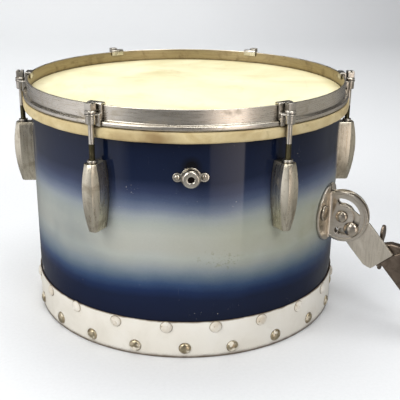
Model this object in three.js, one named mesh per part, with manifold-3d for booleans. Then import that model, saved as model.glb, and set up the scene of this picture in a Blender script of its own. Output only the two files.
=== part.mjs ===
// Rack tom tom drum: a lacquered wooden shell with a hooped calf batter head, a tacked bottom
// head, six claws, tension rods and lugs, an internal muffler and a tilting clamp-on holder.
// Millimetres, +Z up. The origin is the centre of the bottom head's underside, on the drum's
// axis. -Y is the front, and an azimuth turns from -Y towards +X.
import * as THREE from 'three';
import { mergeVertices } from 'three/addons/utils/BufferGeometryUtils.js';
import Module from 'manifold-3d';

const wasm = await Module();
wasm.setup();

// ---- Driving dimensions ----
const GAP = 0.3; // clearance between neighbouring pieces
const ROUND_STEPS = 60; // facets round the drum
const PIN_STEPS = 12; // facets round a bolt, pin or knob

const SHELL_RADIUS = 165.1;
const SHELL_WALL = 5.5;
const SHELL_DEPTH = 232.6;
const EDGE_LAND = 2; // flat width of the bearing edge
const RING_DEPTH = 34;
const RING_WALL = 6;
const RING_SETBACK = 3;

const HEAD_SKIN = 0.8;
const FLESH_HOOP_WIDTH = 6.5;
const FLESH_HOOP_DEPTH = 10.9;
const FLESH_HOOP_DROP = 6.2; // from the playing surface to the flesh hoop's top
const HOOP_WALL = 1.65;
const HOOP_RISE = 13; // from the playing surface to the counter hoop's rim
const HOOP_FLANGE_DEPTH = 4.7;
const HOOP_FLANGE_WIDTH = 3.85;

const BOTTOM_SKIN = 1.2;
const BAND_DEPTH = 39.6;
const BAND_SKIN = 0.9;
const TACKS_PER_ROW = 21;
const TACK_HEAD_RADIUS = 5.4;
const TACK_HEAD_HEIGHT = 2;
const TACK_MARGIN_FOOT = 10; // from the floor to the lower row
const TACK_MARGIN_EDGE = 7; // from the band's edge to the upper row
const TACK_ROW_AZIMUTHS = [-2.1, 7.3]; // lower row, upper row

const STATIONS = [-30, 30, 90, 150, -150, -90]; // azimuths of the tuning stations
const ROD_RADIUS = 2.7;
const ROD_CLEARANCE = 1.2; // between a rod and the flesh hoop
const ROD_NECK_STEP = 1.5; // the neck's radius beyond the shank's
const ROD_NECK_HEIGHT = 2.6;
const ROD_HEAD_WIDTH = 7.4;
const ROD_HEAD_HEIGHT = 7.2;
const ROD_SLOT_WIDTH = 1.4;
const ROD_SLOT_DEPTH = 1.6;
const ROD_ENGAGED = 26; // length of rod below the lug's top

const CLAW_WIDTH = 15.5;
const CLAW_APRON = 2; // the claw's wall outside the hoop's flange
const CLAW_TOP_WALL = 2;
const CLAW_LIP_WALL = 2.2;
const CLAW_LIP_DEPTH = 7;
const CLAW_BOSS_WALL = 1.85;
const CLAW_BOSS_HEIGHT = 9.3;
const CLAW_BOSS_DROP = 6.9; // from the hoop's rim to the boss's top

const LUG_DROP = 38.1; // from the shell's top to a lug's top
const LUG_HEIGHT = 66;
const LUG_TOP_FRONT = 7.7; // from a rod's axis to the lug's front, at its top, belly and foot
const LUG_BELLY_FRONT = 11.2;
const LUG_FOOT_FRONT = 5.2;
const LUG_WALL = 2.3; // beside the nut's bore, at the top
const LUG_BELLY_SWELL = 2.7; // how much further each side stands out at the belly
const LUG_FOOT_WIDTH = 9;
const LUG_BELLY = 0.6; // the belly's place, from foot to top
const NUT_WALL = 0.9;
const NUT_LENGTH = 22;
const NUT_COLLAR_STEP = 0.8;
const NUT_COLLAR_HEIGHT = 2.6;

const KNOB_RADIUS = 8.5;
const KNOB_THICKNESS = 7.6;
const KNOB_DIMPLE_RADIUS = 2.9;
const KNOB_DIMPLE_DEPTH = 2.5;
const KNOB_SOCKET = 4;
const STEM_RADIUS = 2.9;
const MUFFLER_PLATE = 1.5;
const MUFFLER_COLLAR_STEP = 0.9; // the plate's middle beyond the knob
const EAR_RADIUS = 4.3;
const EAR_MARGIN = 0.95; // between the knob and an ear's screw
const EAR_SCREW_RADIUS = 2.8;
const BUSH_RADIUS = 7.3;
const MUFFLER_ARM_WIDTH = 12;
const MUFFLER_ARM_WALL = 2;
const MUFFLER_PAD = { along: 13, across: 18, deep: 14 };
const PAD_CLEARANCE = 1.6; // between the raised pad and the batter head
const ARM_CLEARANCE = 1.5; // between the swinging arm and the reinforcement ring

const HOLDER_AZIMUTH = 61.4;
const PIVOT = { out: 16.4, height: 117.9 }; // out from the shell's surface
const CHEEK_WALL = 2.5;
const CHEEK_RIM_WIDTH = 3;
const CHEEK_RIM_HEIGHT = 0.8;
const CHEEK_STEP = 1.9; // from the cheek's round edge to its straight root
const FLANGE = { width: 28, height: 59, middle: 120 };
const SLOT_RADIUS = 16;
const SLOT_WIDTH = 8;
const SLOT_START = -100; // degrees from straight out, about the pivot
const SLOT_END = 98;
const PIVOT_BOLT_RADIUS = 4;
const PIVOT_HEAD_RADIUS = 6.2;
const LOCK_HEAD_RADIUS = 7.6;
const FLANGE_BOLT_RADIUS = 3;
const FLANGE_BOLT_HEAD = 8.4;
const FLANGE_BOLT_OFFSET = 17.8; // from the holder's middle plane
const FLANGE_BOLT_HEIGHT = 124;
const NUT_ACROSS = 6.4; // half of a hex nut's width over its corners
const NUT_HEIGHT = 4;

const ARM_ANGLE = -48; // below straight out
const ARM_WALL = 3.2;
const ARM_LENGTH = 61.6;
const ARM_SIDES = [-14.2, 18.5];
const ARM_NOSE_RADIUS = 12.5;
const STUD_SETBACK = 8; // from the arm's end to the swivel stud
const STUD_ACROSS = 2.3;
const STUD_RADIUS = 3.5;

const CLAMP_WALL = 14;
const CLAMP_EAR_RADIUS = 11;
const CLAMP_BLOCK_LENGTH = 25;
const CLAMP_SIDES = [0, 34];
const CLAMP_SPINE = 9;
const JAW_WALL = 9;
const JAW_PLAY = 2.9; // between the open jaw pad and the lower jaw
const JAW_ACROSS = 22; // the jaw screw's axis, from the arm's axis
const JAW_PAD_RADIUS = 6.9;
const JAW_PAD_THICKNESS = 3;
const JAW_OPENING = 14.5;
const JAW_SCREW_RADIUS = 3.6;
const JAW_SCREW_REACH = 19.5; // beyond the lower jaw, with the pad raised

// ---- Levels and radii that follow ----
const shellBottom = BOTTOM_SKIN + GAP;
const shellTop = shellBottom + SHELL_DEPTH;
const shellInside = SHELL_RADIUS - SHELL_WALL;
const headUnderside = shellTop + GAP;
const headTop = headUnderside + HEAD_SKIN;
const skirtRadius = SHELL_RADIUS + GAP + HEAD_SKIN;
const hoopInside = skirtRadius + GAP;
const hoopOutside = hoopInside + HOOP_WALL;
const hoopTop = headTop + HOOP_RISE;
const fleshTop = headTop - FLESH_HOOP_DROP;
const fleshBottom = fleshTop - FLESH_HOOP_DEPTH;
const hoopBottom = fleshTop + GAP;
const flangeTop = hoopBottom + HOOP_FLANGE_DEPTH;
const flangeRadius = hoopOutside + HOOP_FLANGE_WIDTH;
const fleshOutside = hoopInside + FLESH_HOOP_WIDTH;
const rodRadiusOut = fleshOutside + ROD_CLEARANCE + ROD_RADIUS;
const rodOffset = rodRadiusOut - SHELL_RADIUS;
const bossTop = hoopTop - CLAW_BOSS_DROP;
const lugTop = shellTop - LUG_DROP;
const nutRadius = ROD_RADIUS + GAP + NUT_WALL;
const edgeBevel = SHELL_WALL - EDGE_LAND;
const ringOutside = shellInside - GAP;
const ringInside = ringOutside - RING_WALL;
const upperRingBottom = shellTop - edgeBevel - RING_SETBACK - RING_DEPTH;
const mufflerHeight = upperRingBottom - GAP - BUSH_RADIUS;
const mufflerReach = headUnderside - PAD_CLEARANCE - mufflerHeight;
const earSpacing = KNOB_RADIUS + EAR_MARGIN + EAR_SCREW_RADIUS;
const mountSurface = SHELL_RADIUS + GAP;
const pivotX = SHELL_RADIUS + PIVOT.out;
const cheekRadius = SLOT_RADIUS + LOCK_HEAD_RADIUS + GAP + CHEEK_RIM_WIDTH;
const swivelAlong = ARM_LENGTH - STUD_SETBACK;

// ---- Solids ----
const radians = THREE.MathUtils.degToRad;

function signedVolume(position, index) {
  const corner = [0, 1, 2].map(() => new THREE.Vector3());
  let sum = 0;
  for (let i = 0; i < index.length; i += 3) {
    corner.forEach((v, k) => v.fromBufferAttribute(position, index[i + k]));
    sum += corner[0].dot(corner[1].cross(corner[2]));
  }
  return sum / 6;
}

// A closed three.js geometry as a manifold solid with its faces out.
function solid(geometry) {
  const bare = geometry.index ? geometry.toNonIndexed() : geometry.clone();
  bare.deleteAttribute('normal');
  bare.deleteAttribute('uv');
  const merged = mergeVertices(bare, 1e-4);
  const index = [];
  const source = merged.index.array;
  for (let i = 0; i < source.length; i += 3) {
    const [a, b, c] = source.subarray(i, i + 3);
    if (a !== b && b !== c && c !== a) index.push(a, b, c);
  }
  const position = merged.attributes.position;
  if (signedVolume(position, index) < 0) {
    for (let i = 0; i < index.length; i += 3) [index[i], index[i + 1]] = [index[i + 1], index[i]];
  }
  return new wasm.Manifold(new wasm.Mesh({
    numProp: 3,
    vertProperties: new Float32Array(position.array),
    triVerts: new Uint32Array(index),
  }));
}

const joined = (first, ...others) => others.reduce((body, other) => body.add(other), first);
const cut = (first, ...tools) => tools.reduce((body, tool) => body.subtract(tool), first);

function geometryOf(body) {
  const mesh = body.getMesh();
  const position = new Float32Array(mesh.numVert * 3);
  for (let i = 0; i < mesh.numVert; i += 1) {
    for (let k = 0; k < 3; k += 1) position[3 * i + k] = mesh.vertProperties[mesh.numProp * i + k];
  }
  const geometry = new THREE.BufferGeometry();
  geometry.setAttribute('position', new THREE.BufferAttribute(position, 3));
  geometry.setIndex(new THREE.BufferAttribute(new Uint32Array(mesh.triVerts), 1));
  const faceted = geometry.toNonIndexed();
  faceted.computeVertexNormals();
  return faceted;
}

// Turned about Z from [radius, z] corners; a profile off the axis closes on itself.
function turned(profile, steps = ROUND_STEPS) {
  const points = profile.map(([radius, z]) => new THREE.Vector2(radius, z));
  const last = profile[profile.length - 1];
  if (profile[0][0] > 0 || last[0] > 0) points.push(points[0].clone());
  return new THREE.LatheGeometry(points, steps).rotateX(Math.PI / 2);
}

const ring = (inner, outer, bottom, top, steps) =>
  turned([[inner, bottom], [outer, bottom], [outer, top], [inner, top]], steps);

const rod = (radius, bottom, top, steps = PIN_STEPS) =>
  turned([[0, bottom], [radius, bottom], [radius, top], [0, top]], steps);

// A dome on a flat base at z = 0, rising to its height.
function dome(radius, height, steps = PIN_STEPS, levels = 3) {
  const profile = [[0, 0]];
  for (let i = 0; i <= levels; i += 1) {
    const turn = (Math.PI / 2) * (i / levels);
    profile.push([i === levels ? 0 : radius * Math.cos(turn), height * Math.sin(turn)]);
  }
  return turned(profile, steps);
}

const block = (x0, x1, y0, y1, z0, z1) =>
  new THREE.BoxGeometry(x1 - x0, y1 - y0, z1 - z0)
    .translate((x0 + x1) / 2, (y0 + y1) / 2, (z0 + z1) / 2);

// A flat outline in X and Z, given a thickness along Y.
function plate(shape, y0, y1, curveSegments = 12) {
  return new THREE.ExtrudeGeometry(shape, { depth: y1 - y0, bevelEnabled: false, curveSegments })
    .rotateX(Math.PI / 2).translate(0, y1, 0);
}

const polygon = (points) => new THREE.Shape(points.map(([x, z]) => new THREE.Vector2(x, z)));

// Turned work whose axis lies along Y instead of Z: its foot at y, its far end towards +Y.
const alongY = (geometry, x, y, z) => geometry.rotateX(-Math.PI / 2).translate(x, y, z);
// The same, towards -Y.
const alongMinusY = (geometry, x, y, z) => geometry.rotateX(Math.PI / 2).translate(x, y, z);
// The same, towards +X.
const alongX = (geometry, x, y, z) => geometry.rotateY(Math.PI / 2).translate(x, y, z);

// ---- Assembly ----
const drum = new THREE.Group();

const finishes = {
  lacquer: { color: 0x1b2740, roughness: 0.25, metalness: 0.1 },
  wood: { color: 0xb08a5a, roughness: 0.7, metalness: 0 },
  calfskin: { color: 0xf4f0d8, roughness: 0.6, metalness: 0 },
  hoopSkin: { color: 0xcbb888, roughness: 0.7, metalness: 0 },
  bandWhite: { color: 0xebe6da, roughness: 0.6, metalness: 0 },
  nickel: { color: 0xb9b0a0, roughness: 0.3, metalness: 1 },
  steel: { color: 0x8c8a86, roughness: 0.4, metalness: 1 },
  felt: { color: 0xd8d2c0, roughness: 1, metalness: 0 },
  bronze: { color: 0x5a5044, roughness: 0.5, metalness: 0.9 },
};

function addNode(parent, name, body, finish) {
  const material = new THREE.MeshStandardMaterial(finishes[finish]);
  const mesh = new THREE.Mesh(geometryOf(body), material);
  mesh.name = name;
  parent.add(mesh);
  return mesh;
}

function stationGroup(azimuth) {
  const group = new THREE.Group();
  group.rotation.z = radians(azimuth);
  drum.add(group);
  return group;
}

const shellCylinder = solid(rod(mountSurface, -1, shellTop + 60, ROUND_STEPS));

// A radial hole through the shell wall, for turned work along X.
const radialHole = (radius, azimuth, height) =>
  solid(alongX(rod(radius, shellInside - 8, SHELL_RADIUS + 8), 0, 0, height)
    .rotateZ(radians(azimuth - 90)));

const flangeBoltAzimuths = [-1, 1].map((side) =>
  HOLDER_AZIMUTH + side * THREE.MathUtils.radToDeg(FLANGE_BOLT_OFFSET / SHELL_RADIUS));

// Shell, with its bearing edges and the holes for the muffler and the holder.
function makeShell() {
  const body = solid(turned([
    [shellInside, shellBottom + edgeBevel], [SHELL_RADIUS - EDGE_LAND, shellBottom],
    [SHELL_RADIUS, shellBottom], [SHELL_RADIUS, shellTop],
    [SHELL_RADIUS - EDGE_LAND, shellTop], [shellInside, shellTop - edgeBevel],
  ]));
  const holes = flangeBoltAzimuths.map((azimuth) =>
    radialHole(FLANGE_BOLT_RADIUS + GAP, azimuth, FLANGE_BOLT_HEIGHT));
  addNode(drum, 'shell', cut(body, radialHole(STEM_RADIUS + GAP, 0, mufflerHeight), ...holes),
    'lacquer');
  const lowerRingBottom = shellBottom + edgeBevel + RING_SETBACK;
  const lower = ring(ringInside, ringOutside, lowerRingBottom, lowerRingBottom + RING_DEPTH);
  const upper = ring(ringInside, ringOutside, upperRingBottom, upperRingBottom + RING_DEPTH);
  addNode(drum, 'bottom_reinforcement_ring', solid(lower), 'wood');
  addNode(drum, 'top_reinforcement_ring', solid(upper), 'wood');
}

// Batter head, the flesh hoop with the collar of skin that rises from it, and the counter hoop.
function makeTopHead() {
  addNode(drum, 'batter_head', solid(rod(skirtRadius, headUnderside, headTop, ROUND_STEPS)),
    'calfskin');
  const inside = SHELL_RADIUS + GAP;
  const collarTop = headUnderside - GAP;
  addNode(drum, 'flesh_hoop', solid(turned([
    [inside, fleshBottom], [fleshOutside, fleshBottom], [fleshOutside, fleshTop],
    [skirtRadius, fleshTop], [skirtRadius, collarTop], [inside, collarTop],
  ])), 'hoopSkin');
  addNode(drum, 'counter_hoop', solid(turned([
    [hoopInside, hoopBottom], [flangeRadius - 1, hoopBottom], [flangeRadius, hoopBottom + 1.2],
    [flangeRadius, flangeTop - 1.2], [flangeRadius - 1, flangeTop], [hoopOutside, flangeTop],
    [hoopOutside, hoopTop], [hoopInside, hoopTop],
  ])), 'nickel');
}

// Bottom head: its membrane, the band up the shell, and the tack heads that hold the band.
function makeBottomHead() {
  const inside = SHELL_RADIUS + GAP;
  const outside = inside + BAND_SKIN;
  let body = solid(turned([
    [0, 0], [outside - BAND_SKIN, 0], [outside, BAND_SKIN], [outside, BAND_DEPTH],
    [inside, BAND_DEPTH], [inside, BOTTOM_SKIN], [0, BOTTOM_SKIN],
  ]));
  const rows = [TACK_MARGIN_FOOT, BAND_DEPTH - TACK_MARGIN_EDGE];
  for (const [row, height] of rows.entries()) {
    for (let i = 0; i < TACKS_PER_ROW; i += 1) {
      const azimuth = TACK_ROW_AZIMUTHS[row] + (360 / TACKS_PER_ROW) * i;
      const seat = inside + BAND_SKIN / 2;
      const tack = dome(TACK_HEAD_RADIUS, TACK_HEAD_HEIGHT + BAND_SKIN / 2, 6, 2);
      body = body.add(solid(alongX(tack, seat, 0, height).rotateZ(radians(azimuth - 90))));
    }
  }
  addNode(drum, 'bottom_head', body, 'bandWhite');
}

// The space that the counter hoop takes, with its clearance, for cutting the claws.
const hoopClearance = solid(turned([
  [hoopInside - GAP, hoopBottom - 5], [flangeRadius + GAP, hoopBottom - 5],
  [flangeRadius + GAP, flangeTop + GAP], [hoopOutside + GAP, flangeTop + GAP],
  [hoopOutside + GAP, hoopTop + GAP], [hoopInside - GAP, hoopTop + GAP],
]));

// A claw hooks over the rim of the counter hoop and carries the rod's boss.
function clawBody() {
  const headCorner = ROD_HEAD_WIDTH / Math.SQRT2;
  const outer = -(rodRadiusOut - headCorner - 2 * GAP);
  const inner = -(hoopInside - GAP - CLAW_LIP_WALL);
  const top = hoopTop + GAP + CLAW_TOP_WALL;
  const half = CLAW_WIDTH / 2;
  const hook = block(-half, half, outer, inner, hoopBottom + GAP, top);
  const throat = block(-half - 1, half + 1, -(hoopInside + 1), inner + 1,
    hoopBottom - 1, top - CLAW_LIP_DEPTH);
  const boss = rod(ROD_RADIUS + GAP + CLAW_BOSS_WALL, bossTop - CLAW_BOSS_HEIGHT, bossTop)
    .translate(0, -rodRadiusOut, 0);
  const bore = rod(ROD_RADIUS + GAP, 0, top + 9).translate(0, -rodRadiusOut, 0);
  const apron = block(-half, half, -(flangeRadius + GAP + CLAW_APRON), outer + 1,
    hoopBottom + GAP, bossTop);
  return cut(joined(cut(solid(hook), solid(throat)), solid(apron), solid(boss)),
    solid(bore), hoopClearance);
}

// A tension rod: threaded shank, neck, and a square head with a driver slot.
function rodBody() {
  const neckBottom = bossTop + GAP;
  const headBottom = neckBottom + ROD_NECK_HEIGHT;
  const headEnd = headBottom + ROD_HEAD_HEIGHT;
  const half = ROD_HEAD_WIDTH / 2;
  const foot = lugTop - ROD_ENGAGED;
  const neckRadius = ROD_RADIUS + ROD_NECK_STEP;
  const shank = turned([
    [0, foot], [ROD_RADIUS - 0.8, foot], [ROD_RADIUS, foot + 1.5], [ROD_RADIUS, neckBottom],
    [neckRadius, neckBottom], [neckRadius, headBottom + 0.5], [0, headBottom + 0.5],
  ], PIN_STEPS);
  const head = block(-half, half, -half, half, headBottom, headEnd);
  const slot = block(-half - 1, half + 1, -ROD_SLOT_WIDTH / 2, ROD_SLOT_WIDTH / 2,
    headEnd - ROD_SLOT_DEPTH, headEnd + 1);
  return cut(joined(solid(shank), solid(head)), solid(slot));
}

// The smooth rise and fall of a lug's width or depth between its foot, belly and top.
function lugProfile(share, foot, belly, top) {
  const end = share < LUG_BELLY ? foot : top;
  const reach = share < LUG_BELLY ? LUG_BELLY : 1 - LUG_BELLY;
  const away = Math.abs(share - LUG_BELLY) / reach;
  return belly + (end - belly) * away ** 2;
}

// A faceted lug casting, bored from the top for its swivel nut.
function lugBody() {
  const section = [[-1, -0.1], [-1, 0.66], [-0.6, 0.97], [0, 1], [0.6, 0.97], [1, 0.66],
    [1, -0.1]];
  const geometry = new THREE.ExtrudeGeometry(polygon(section),
    { depth: 1, steps: 9, bevelEnabled: false });
  const position = geometry.attributes.position;
  const boreRadius = nutRadius + GAP;
  const topWidth = 2 * (boreRadius + LUG_WALL);
  for (let i = 0; i < position.count; i += 1) {
    const share = position.getZ(i);
    const width = lugProfile(share, LUG_FOOT_WIDTH, topWidth + 2 * LUG_BELLY_SWELL, topWidth);
    const depth = rodOffset + lugProfile(share, LUG_FOOT_FRONT, LUG_BELLY_FRONT, LUG_TOP_FRONT);
    position.setXYZ(i, (position.getX(i) * width) / 2,
      -(SHELL_RADIUS + position.getY(i) * depth), lugTop - LUG_HEIGHT * (1 - share));
  }
  const boreDepth = ROD_ENGAGED + 4;
  const bore = rod(boreRadius, lugTop - boreDepth, lugTop + 1).translate(0, -rodRadiusOut, 0);
  return cut(solid(geometry), shellCylinder, solid(bore));
}

function lugNutBody() {
  const foot = lugTop - NUT_LENGTH;
  const collarBottom = lugTop + GAP;
  const collarRadius = nutRadius + NUT_COLLAR_STEP;
  const bore = ROD_RADIUS + GAP;
  return solid(turned([
    [bore, foot], [nutRadius, foot], [nutRadius, collarBottom], [collarRadius, collarBottom],
    [collarRadius, collarBottom + NUT_COLLAR_HEIGHT], [bore, collarBottom + NUT_COLLAR_HEIGHT],
  ], PIN_STEPS).translate(0, -rodRadiusOut, 0));
}

// Claws, rods, lugs and nuts, the same at every tuning station.
function makeStations() {
  const claw = clawBody();
  const tensionRod = rodBody();
  const lug = lugBody();
  const nut = lugNutBody();
  STATIONS.forEach((azimuth, i) => {
    const group = stationGroup(azimuth);
    addNode(group, `claw_${i + 1}`, claw, 'nickel');
    addNode(group, `tension_rod_${i + 1}`, tensionRod, 'steel').position.y = -rodRadiusOut;
    addNode(group, `lug_${i + 1}`, lug, 'nickel');
    addNode(group, `lug_nut_${i + 1}`, nut, 'steel');
  });
}

// Muffler: plate, knob and stem outside; bush, arm and felt pad inside, turned to the side.
function makeMuffler() {
  const height = mufflerHeight;
  const plateOutside = mountSurface + MUFFLER_PLATE;
  const across = (radius, x) =>
    solid(alongMinusY(rod(radius, 0, 12, 20), x, -mountSurface + 4, height));
  const outline = joined(across(KNOB_RADIUS + MUFFLER_COLLAR_STEP, 0),
    across(EAR_RADIUS, -earSpacing), across(EAR_RADIUS, earSpacing), solid(block(-earSpacing, earSpacing,
      -mountSurface - 8, -mountSurface + 4, height - EAR_RADIUS * 0.8, height + EAR_RADIUS * 0.8)));
  const curved = outline.intersect(solid(ring(mountSurface, plateOutside, height - 20, height + 20)));
  const stemHole = across(STEM_RADIUS + GAP, 0);
  addNode(drum, 'muffler_plate', curved.subtract(stemHole), 'nickel');
  for (const [name, side] of [['left', -1], ['right', 1]]) {
    const sag = SHELL_RADIUS - Math.sqrt(SHELL_RADIUS ** 2 - earSpacing ** 2);
    const seat = -(plateOutside + GAP - sag + 0.2);
    const slot = block(-4, 4, seat - 3, seat - 1.1, height - 0.5, height + 0.5)
      .translate(side * earSpacing, 0, 0);
    const screw = alongMinusY(dome(EAR_SCREW_RADIUS, 1.8), side * earSpacing, seat, height);
    addNode(drum, `muffler_screw_${name}`, solid(screw).subtract(solid(slot)), 'steel');
  }
  const knobBack = -(plateOutside + GAP);
  const knobFront = knobBack - KNOB_THICKNESS;
  const knob = alongMinusY(turned([
    [0, 0], [KNOB_RADIUS - 0.8, 0], [KNOB_RADIUS, 0.8], [KNOB_RADIUS, KNOB_THICKNESS - 2],
    [KNOB_RADIUS - 1.5, KNOB_THICKNESS], [0, KNOB_THICKNESS],
  ], 18), 0, knobBack, height);
  const dimple = alongMinusY(rod(KNOB_DIMPLE_RADIUS, 0, KNOB_DIMPLE_DEPTH + 1), 0,
    knobFront + KNOB_DIMPLE_DEPTH, height);
  const socket = alongMinusY(rod(STEM_RADIUS + GAP, -1, KNOB_SOCKET), 0, knobBack, height);
  addNode(drum, 'muffler_knob', cut(solid(knob), solid(dimple), solid(socket)), 'nickel');
  const half = MUFFLER_ARM_WIDTH / 2;
  const armEnd = mufflerReach - 1;
  const bushFace = -(shellInside - GAP - 0.4);
  const armFace = -Math.sqrt((ringInside - ARM_CLEARANCE) ** 2 - armEnd ** 2 - half ** 2);
  const stem = rod(STEM_RADIUS, 0, -(knobBack - KNOB_SOCKET + GAP) + (armFace + 3));
  addNode(drum, 'muffler_stem', solid(alongMinusY(stem, 0, armFace + 3, height)), 'steel');
  const bush = alongY(ring(STEM_RADIUS + GAP, BUSH_RADIUS, 0, armFace - GAP - bushFace,
    PIN_STEPS), 0, bushFace, height);
  addNode(drum, 'muffler_bush', solid(bush), 'steel');
  const armStrip = joined(
    solid(block(0, armEnd, armFace, armFace + MUFFLER_ARM_WALL, height - half, height + half)),
    solid(alongY(rod(half, 0, MUFFLER_ARM_WALL), 0, armFace, height)));
  addNode(drum, 'muffler_arm', cut(armStrip,
    solid(alongY(rod(STEM_RADIUS + GAP, -1, 9), 0, armFace, height))), 'steel');
  const padFace = armFace + MUFFLER_ARM_WALL + GAP;
  addNode(drum, 'muffler_pad', solid(block(mufflerReach - MUFFLER_PAD.along, mufflerReach,
    padFace, padFace + MUFFLER_PAD.deep, height - MUFFLER_PAD.across / 2,
    height + MUFFLER_PAD.across / 2)), 'felt');
}

// An arc-shaped slot about the pivot, with round ends, in X and Z.
function slotShape() {
  const half = SLOT_WIDTH / 2;
  const [start, end] = [radians(SLOT_START), radians(SLOT_END)];
  const endCentre = (turn) => [pivotX + SLOT_RADIUS * Math.cos(turn),
    PIVOT.height + SLOT_RADIUS * Math.sin(turn)];
  const shape = new THREE.Shape();
  shape.absarc(pivotX, PIVOT.height, SLOT_RADIUS + half, start, end, false);
  shape.absarc(...endCentre(end), half, end, end + Math.PI, false);
  shape.absarc(pivotX, PIVOT.height, SLOT_RADIUS - half, end, start, true);
  shape.absarc(...endCentre(start), half, start - Math.PI, start, false);
  return shape;
}

// One cheek of the holder: the slotted web, its raised rim and its flange on the shell.
// Built on the far side of the middle plane; the near one is its mirror image.
function cheekBody(side) {
  const near = ARM_WALL / 2 + GAP;
  const far = near + CHEEK_WALL;
  const pivotDisc = (radius, y0, y1, steps = 32) =>
    solid(alongY(rod(radius, 0, y1 - y0, steps), pivotX, y0, PIVOT.height));
  const rootHalf = cheekRadius - CHEEK_STEP;
  const web = joined(pivotDisc(cheekRadius, near, far), solid(block(SHELL_RADIUS - 4, pivotX,
    near, far, PIVOT.height - rootHalf, PIVOT.height + rootHalf)));
  const rim = pivotDisc(cheekRadius, near, far + CHEEK_RIM_HEIGHT).subtract(
    pivotDisc(cheekRadius - CHEEK_RIM_WIDTH, near - 1, far + 2));
  const dShape = new THREE.Shape();
  dShape.absellipse(0, 0, FLANGE.width, FLANGE.height / 2, -Math.PI / 2, Math.PI / 2, false, 0);
  const flangePlate = new THREE.ExtrudeGeometry(dShape,
    { depth: 24, bevelEnabled: false, curveSegments: 16 })
    .applyMatrix4(new THREE.Matrix4().makeBasis(new THREE.Vector3(0, 1, 0),
      new THREE.Vector3(0, 0, 1), new THREE.Vector3(1, 0, 0)))
    .translate(SHELL_RADIUS - 18, near, FLANGE.middle);
  const flange = solid(flangePlate).intersect(solid(
    ring(mountSurface, mountSurface + CHEEK_WALL, PIVOT.height - 60, PIVOT.height + 60)));
  const boltTurn = radians(side * (flangeBoltAzimuths[1] - HOLDER_AZIMUTH));
  const boltHole = solid(alongX(rod(FLANGE_BOLT_RADIUS + GAP, SHELL_RADIUS - 8, SHELL_RADIUS + 9),
    0, 0, FLANGE_BOLT_HEIGHT).rotateZ(Math.abs(boltTurn)));
  const slot = solid(plate(slotShape(), near - 1, far + 2));
  const body = cut(joined(web, rim, flange), shellCylinder, slot, boltHole,
    pivotDisc(PIVOT_BOLT_RADIUS + GAP, near - 1, far + 2, PIN_STEPS));
  return side > 0 ? body : body.mirror([0, 1, 0]);
}

// A thumb nut whose axis lies along Y: a hub with two ears that stand up beside the bore.
function wingNutBody(hubRadius, hubHeight, earRadius, earOffset, earHeight, earWall, bore) {
  const hub = solid(alongY(rod(hubRadius, 0, hubHeight, 20), 0, 0, 0));
  const ears = [-1, 1].map((side) => solid(rod(earRadius, -earWall / 2, earWall / 2, 20)
    .rotateY(Math.PI / 2).translate(0, earHeight, side * earOffset)));
  return cut(joined(hub, ...ears), solid(alongY(rod(bore, -1, earHeight + earRadius + 1), 0, 0, 0)));
}

const hexNut = (bore) => solid(alongY(rod(NUT_ACROSS, 0, NUT_HEIGHT, 6), 0, 0, 0)).subtract(
  solid(alongY(rod(bore, -1, NUT_HEIGHT + 1), 0, 0, 0)));

// A round-headed bolt along Y: its head towards -Y, under-head face at y = 0.
const domedBolt = (headRadius, headHeight, shankRadius, length) =>
  joined(solid(alongMinusY(dome(headRadius, headHeight, 18), 0, 0, 0)),
    solid(alongY(rod(shankRadius, -0.5, length), 0, 0, 0)));

// The tilting holder on the shell: two cheeks, their bolts, the arm and the lock.
function makeHolder() {
  const holder = new THREE.Group();
  holder.rotation.z = radians(HOLDER_AZIMUTH - 90);
  drum.add(holder);
  const cheekOutside = ARM_WALL / 2 + GAP + CHEEK_WALL;
  addNode(holder, 'holder_cheek_front', cheekBody(-1), 'nickel');
  addNode(holder, 'holder_cheek_back', cheekBody(1), 'nickel');

  flangeBoltAzimuths.forEach((azimuth, i) => {
    const name = i === 0 ? 'front' : 'back';
    const group = new THREE.Group();
    group.rotation.z = radians(azimuth);
    drum.add(group);
    const seat = mountSurface + CHEEK_WALL + GAP + 0.15;
    const bolt = domedBolt(FLANGE_BOLT_HEAD, 3, FLANGE_BOLT_RADIUS,
      seat - shellInside + NUT_HEIGHT + 2);
    addNode(group, `holder_bolt_${name}`, bolt, 'steel').position.set(0, -seat, FLANGE_BOLT_HEIGHT);
    addNode(group, `holder_nut_${name}`, hexNut(FLANGE_BOLT_RADIUS + GAP), 'steel')
      .position.set(0, -(shellInside - GAP - 0.3), FLANGE_BOLT_HEIGHT);
  });

  const headSeat = -(cheekOutside + GAP);
  addNode(holder, 'pivot_bolt', domedBolt(PIVOT_HEAD_RADIUS, 3.6, PIVOT_BOLT_RADIUS,
    2 * cheekOutside + 2 * GAP + NUT_HEIGHT + 0.6), 'steel').position.set(pivotX, headSeat,
    PIVOT.height);
  addNode(holder, 'pivot_nut', hexNut(PIVOT_BOLT_RADIUS + GAP), 'steel')
    .position.set(pivotX, cheekOutside + GAP, PIVOT.height);

  // What tilts with the arm is built along the arm: X out from the pivot, Z across.
  const tilt = new THREE.Group();
  tilt.position.set(pivotX, 0, PIVOT.height);
  tilt.rotation.y = -radians(ARM_ANGLE);
  holder.add(tilt);
  makeArm(tilt, cheekOutside, headSeat);
  makeClamp(tilt);
}

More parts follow.
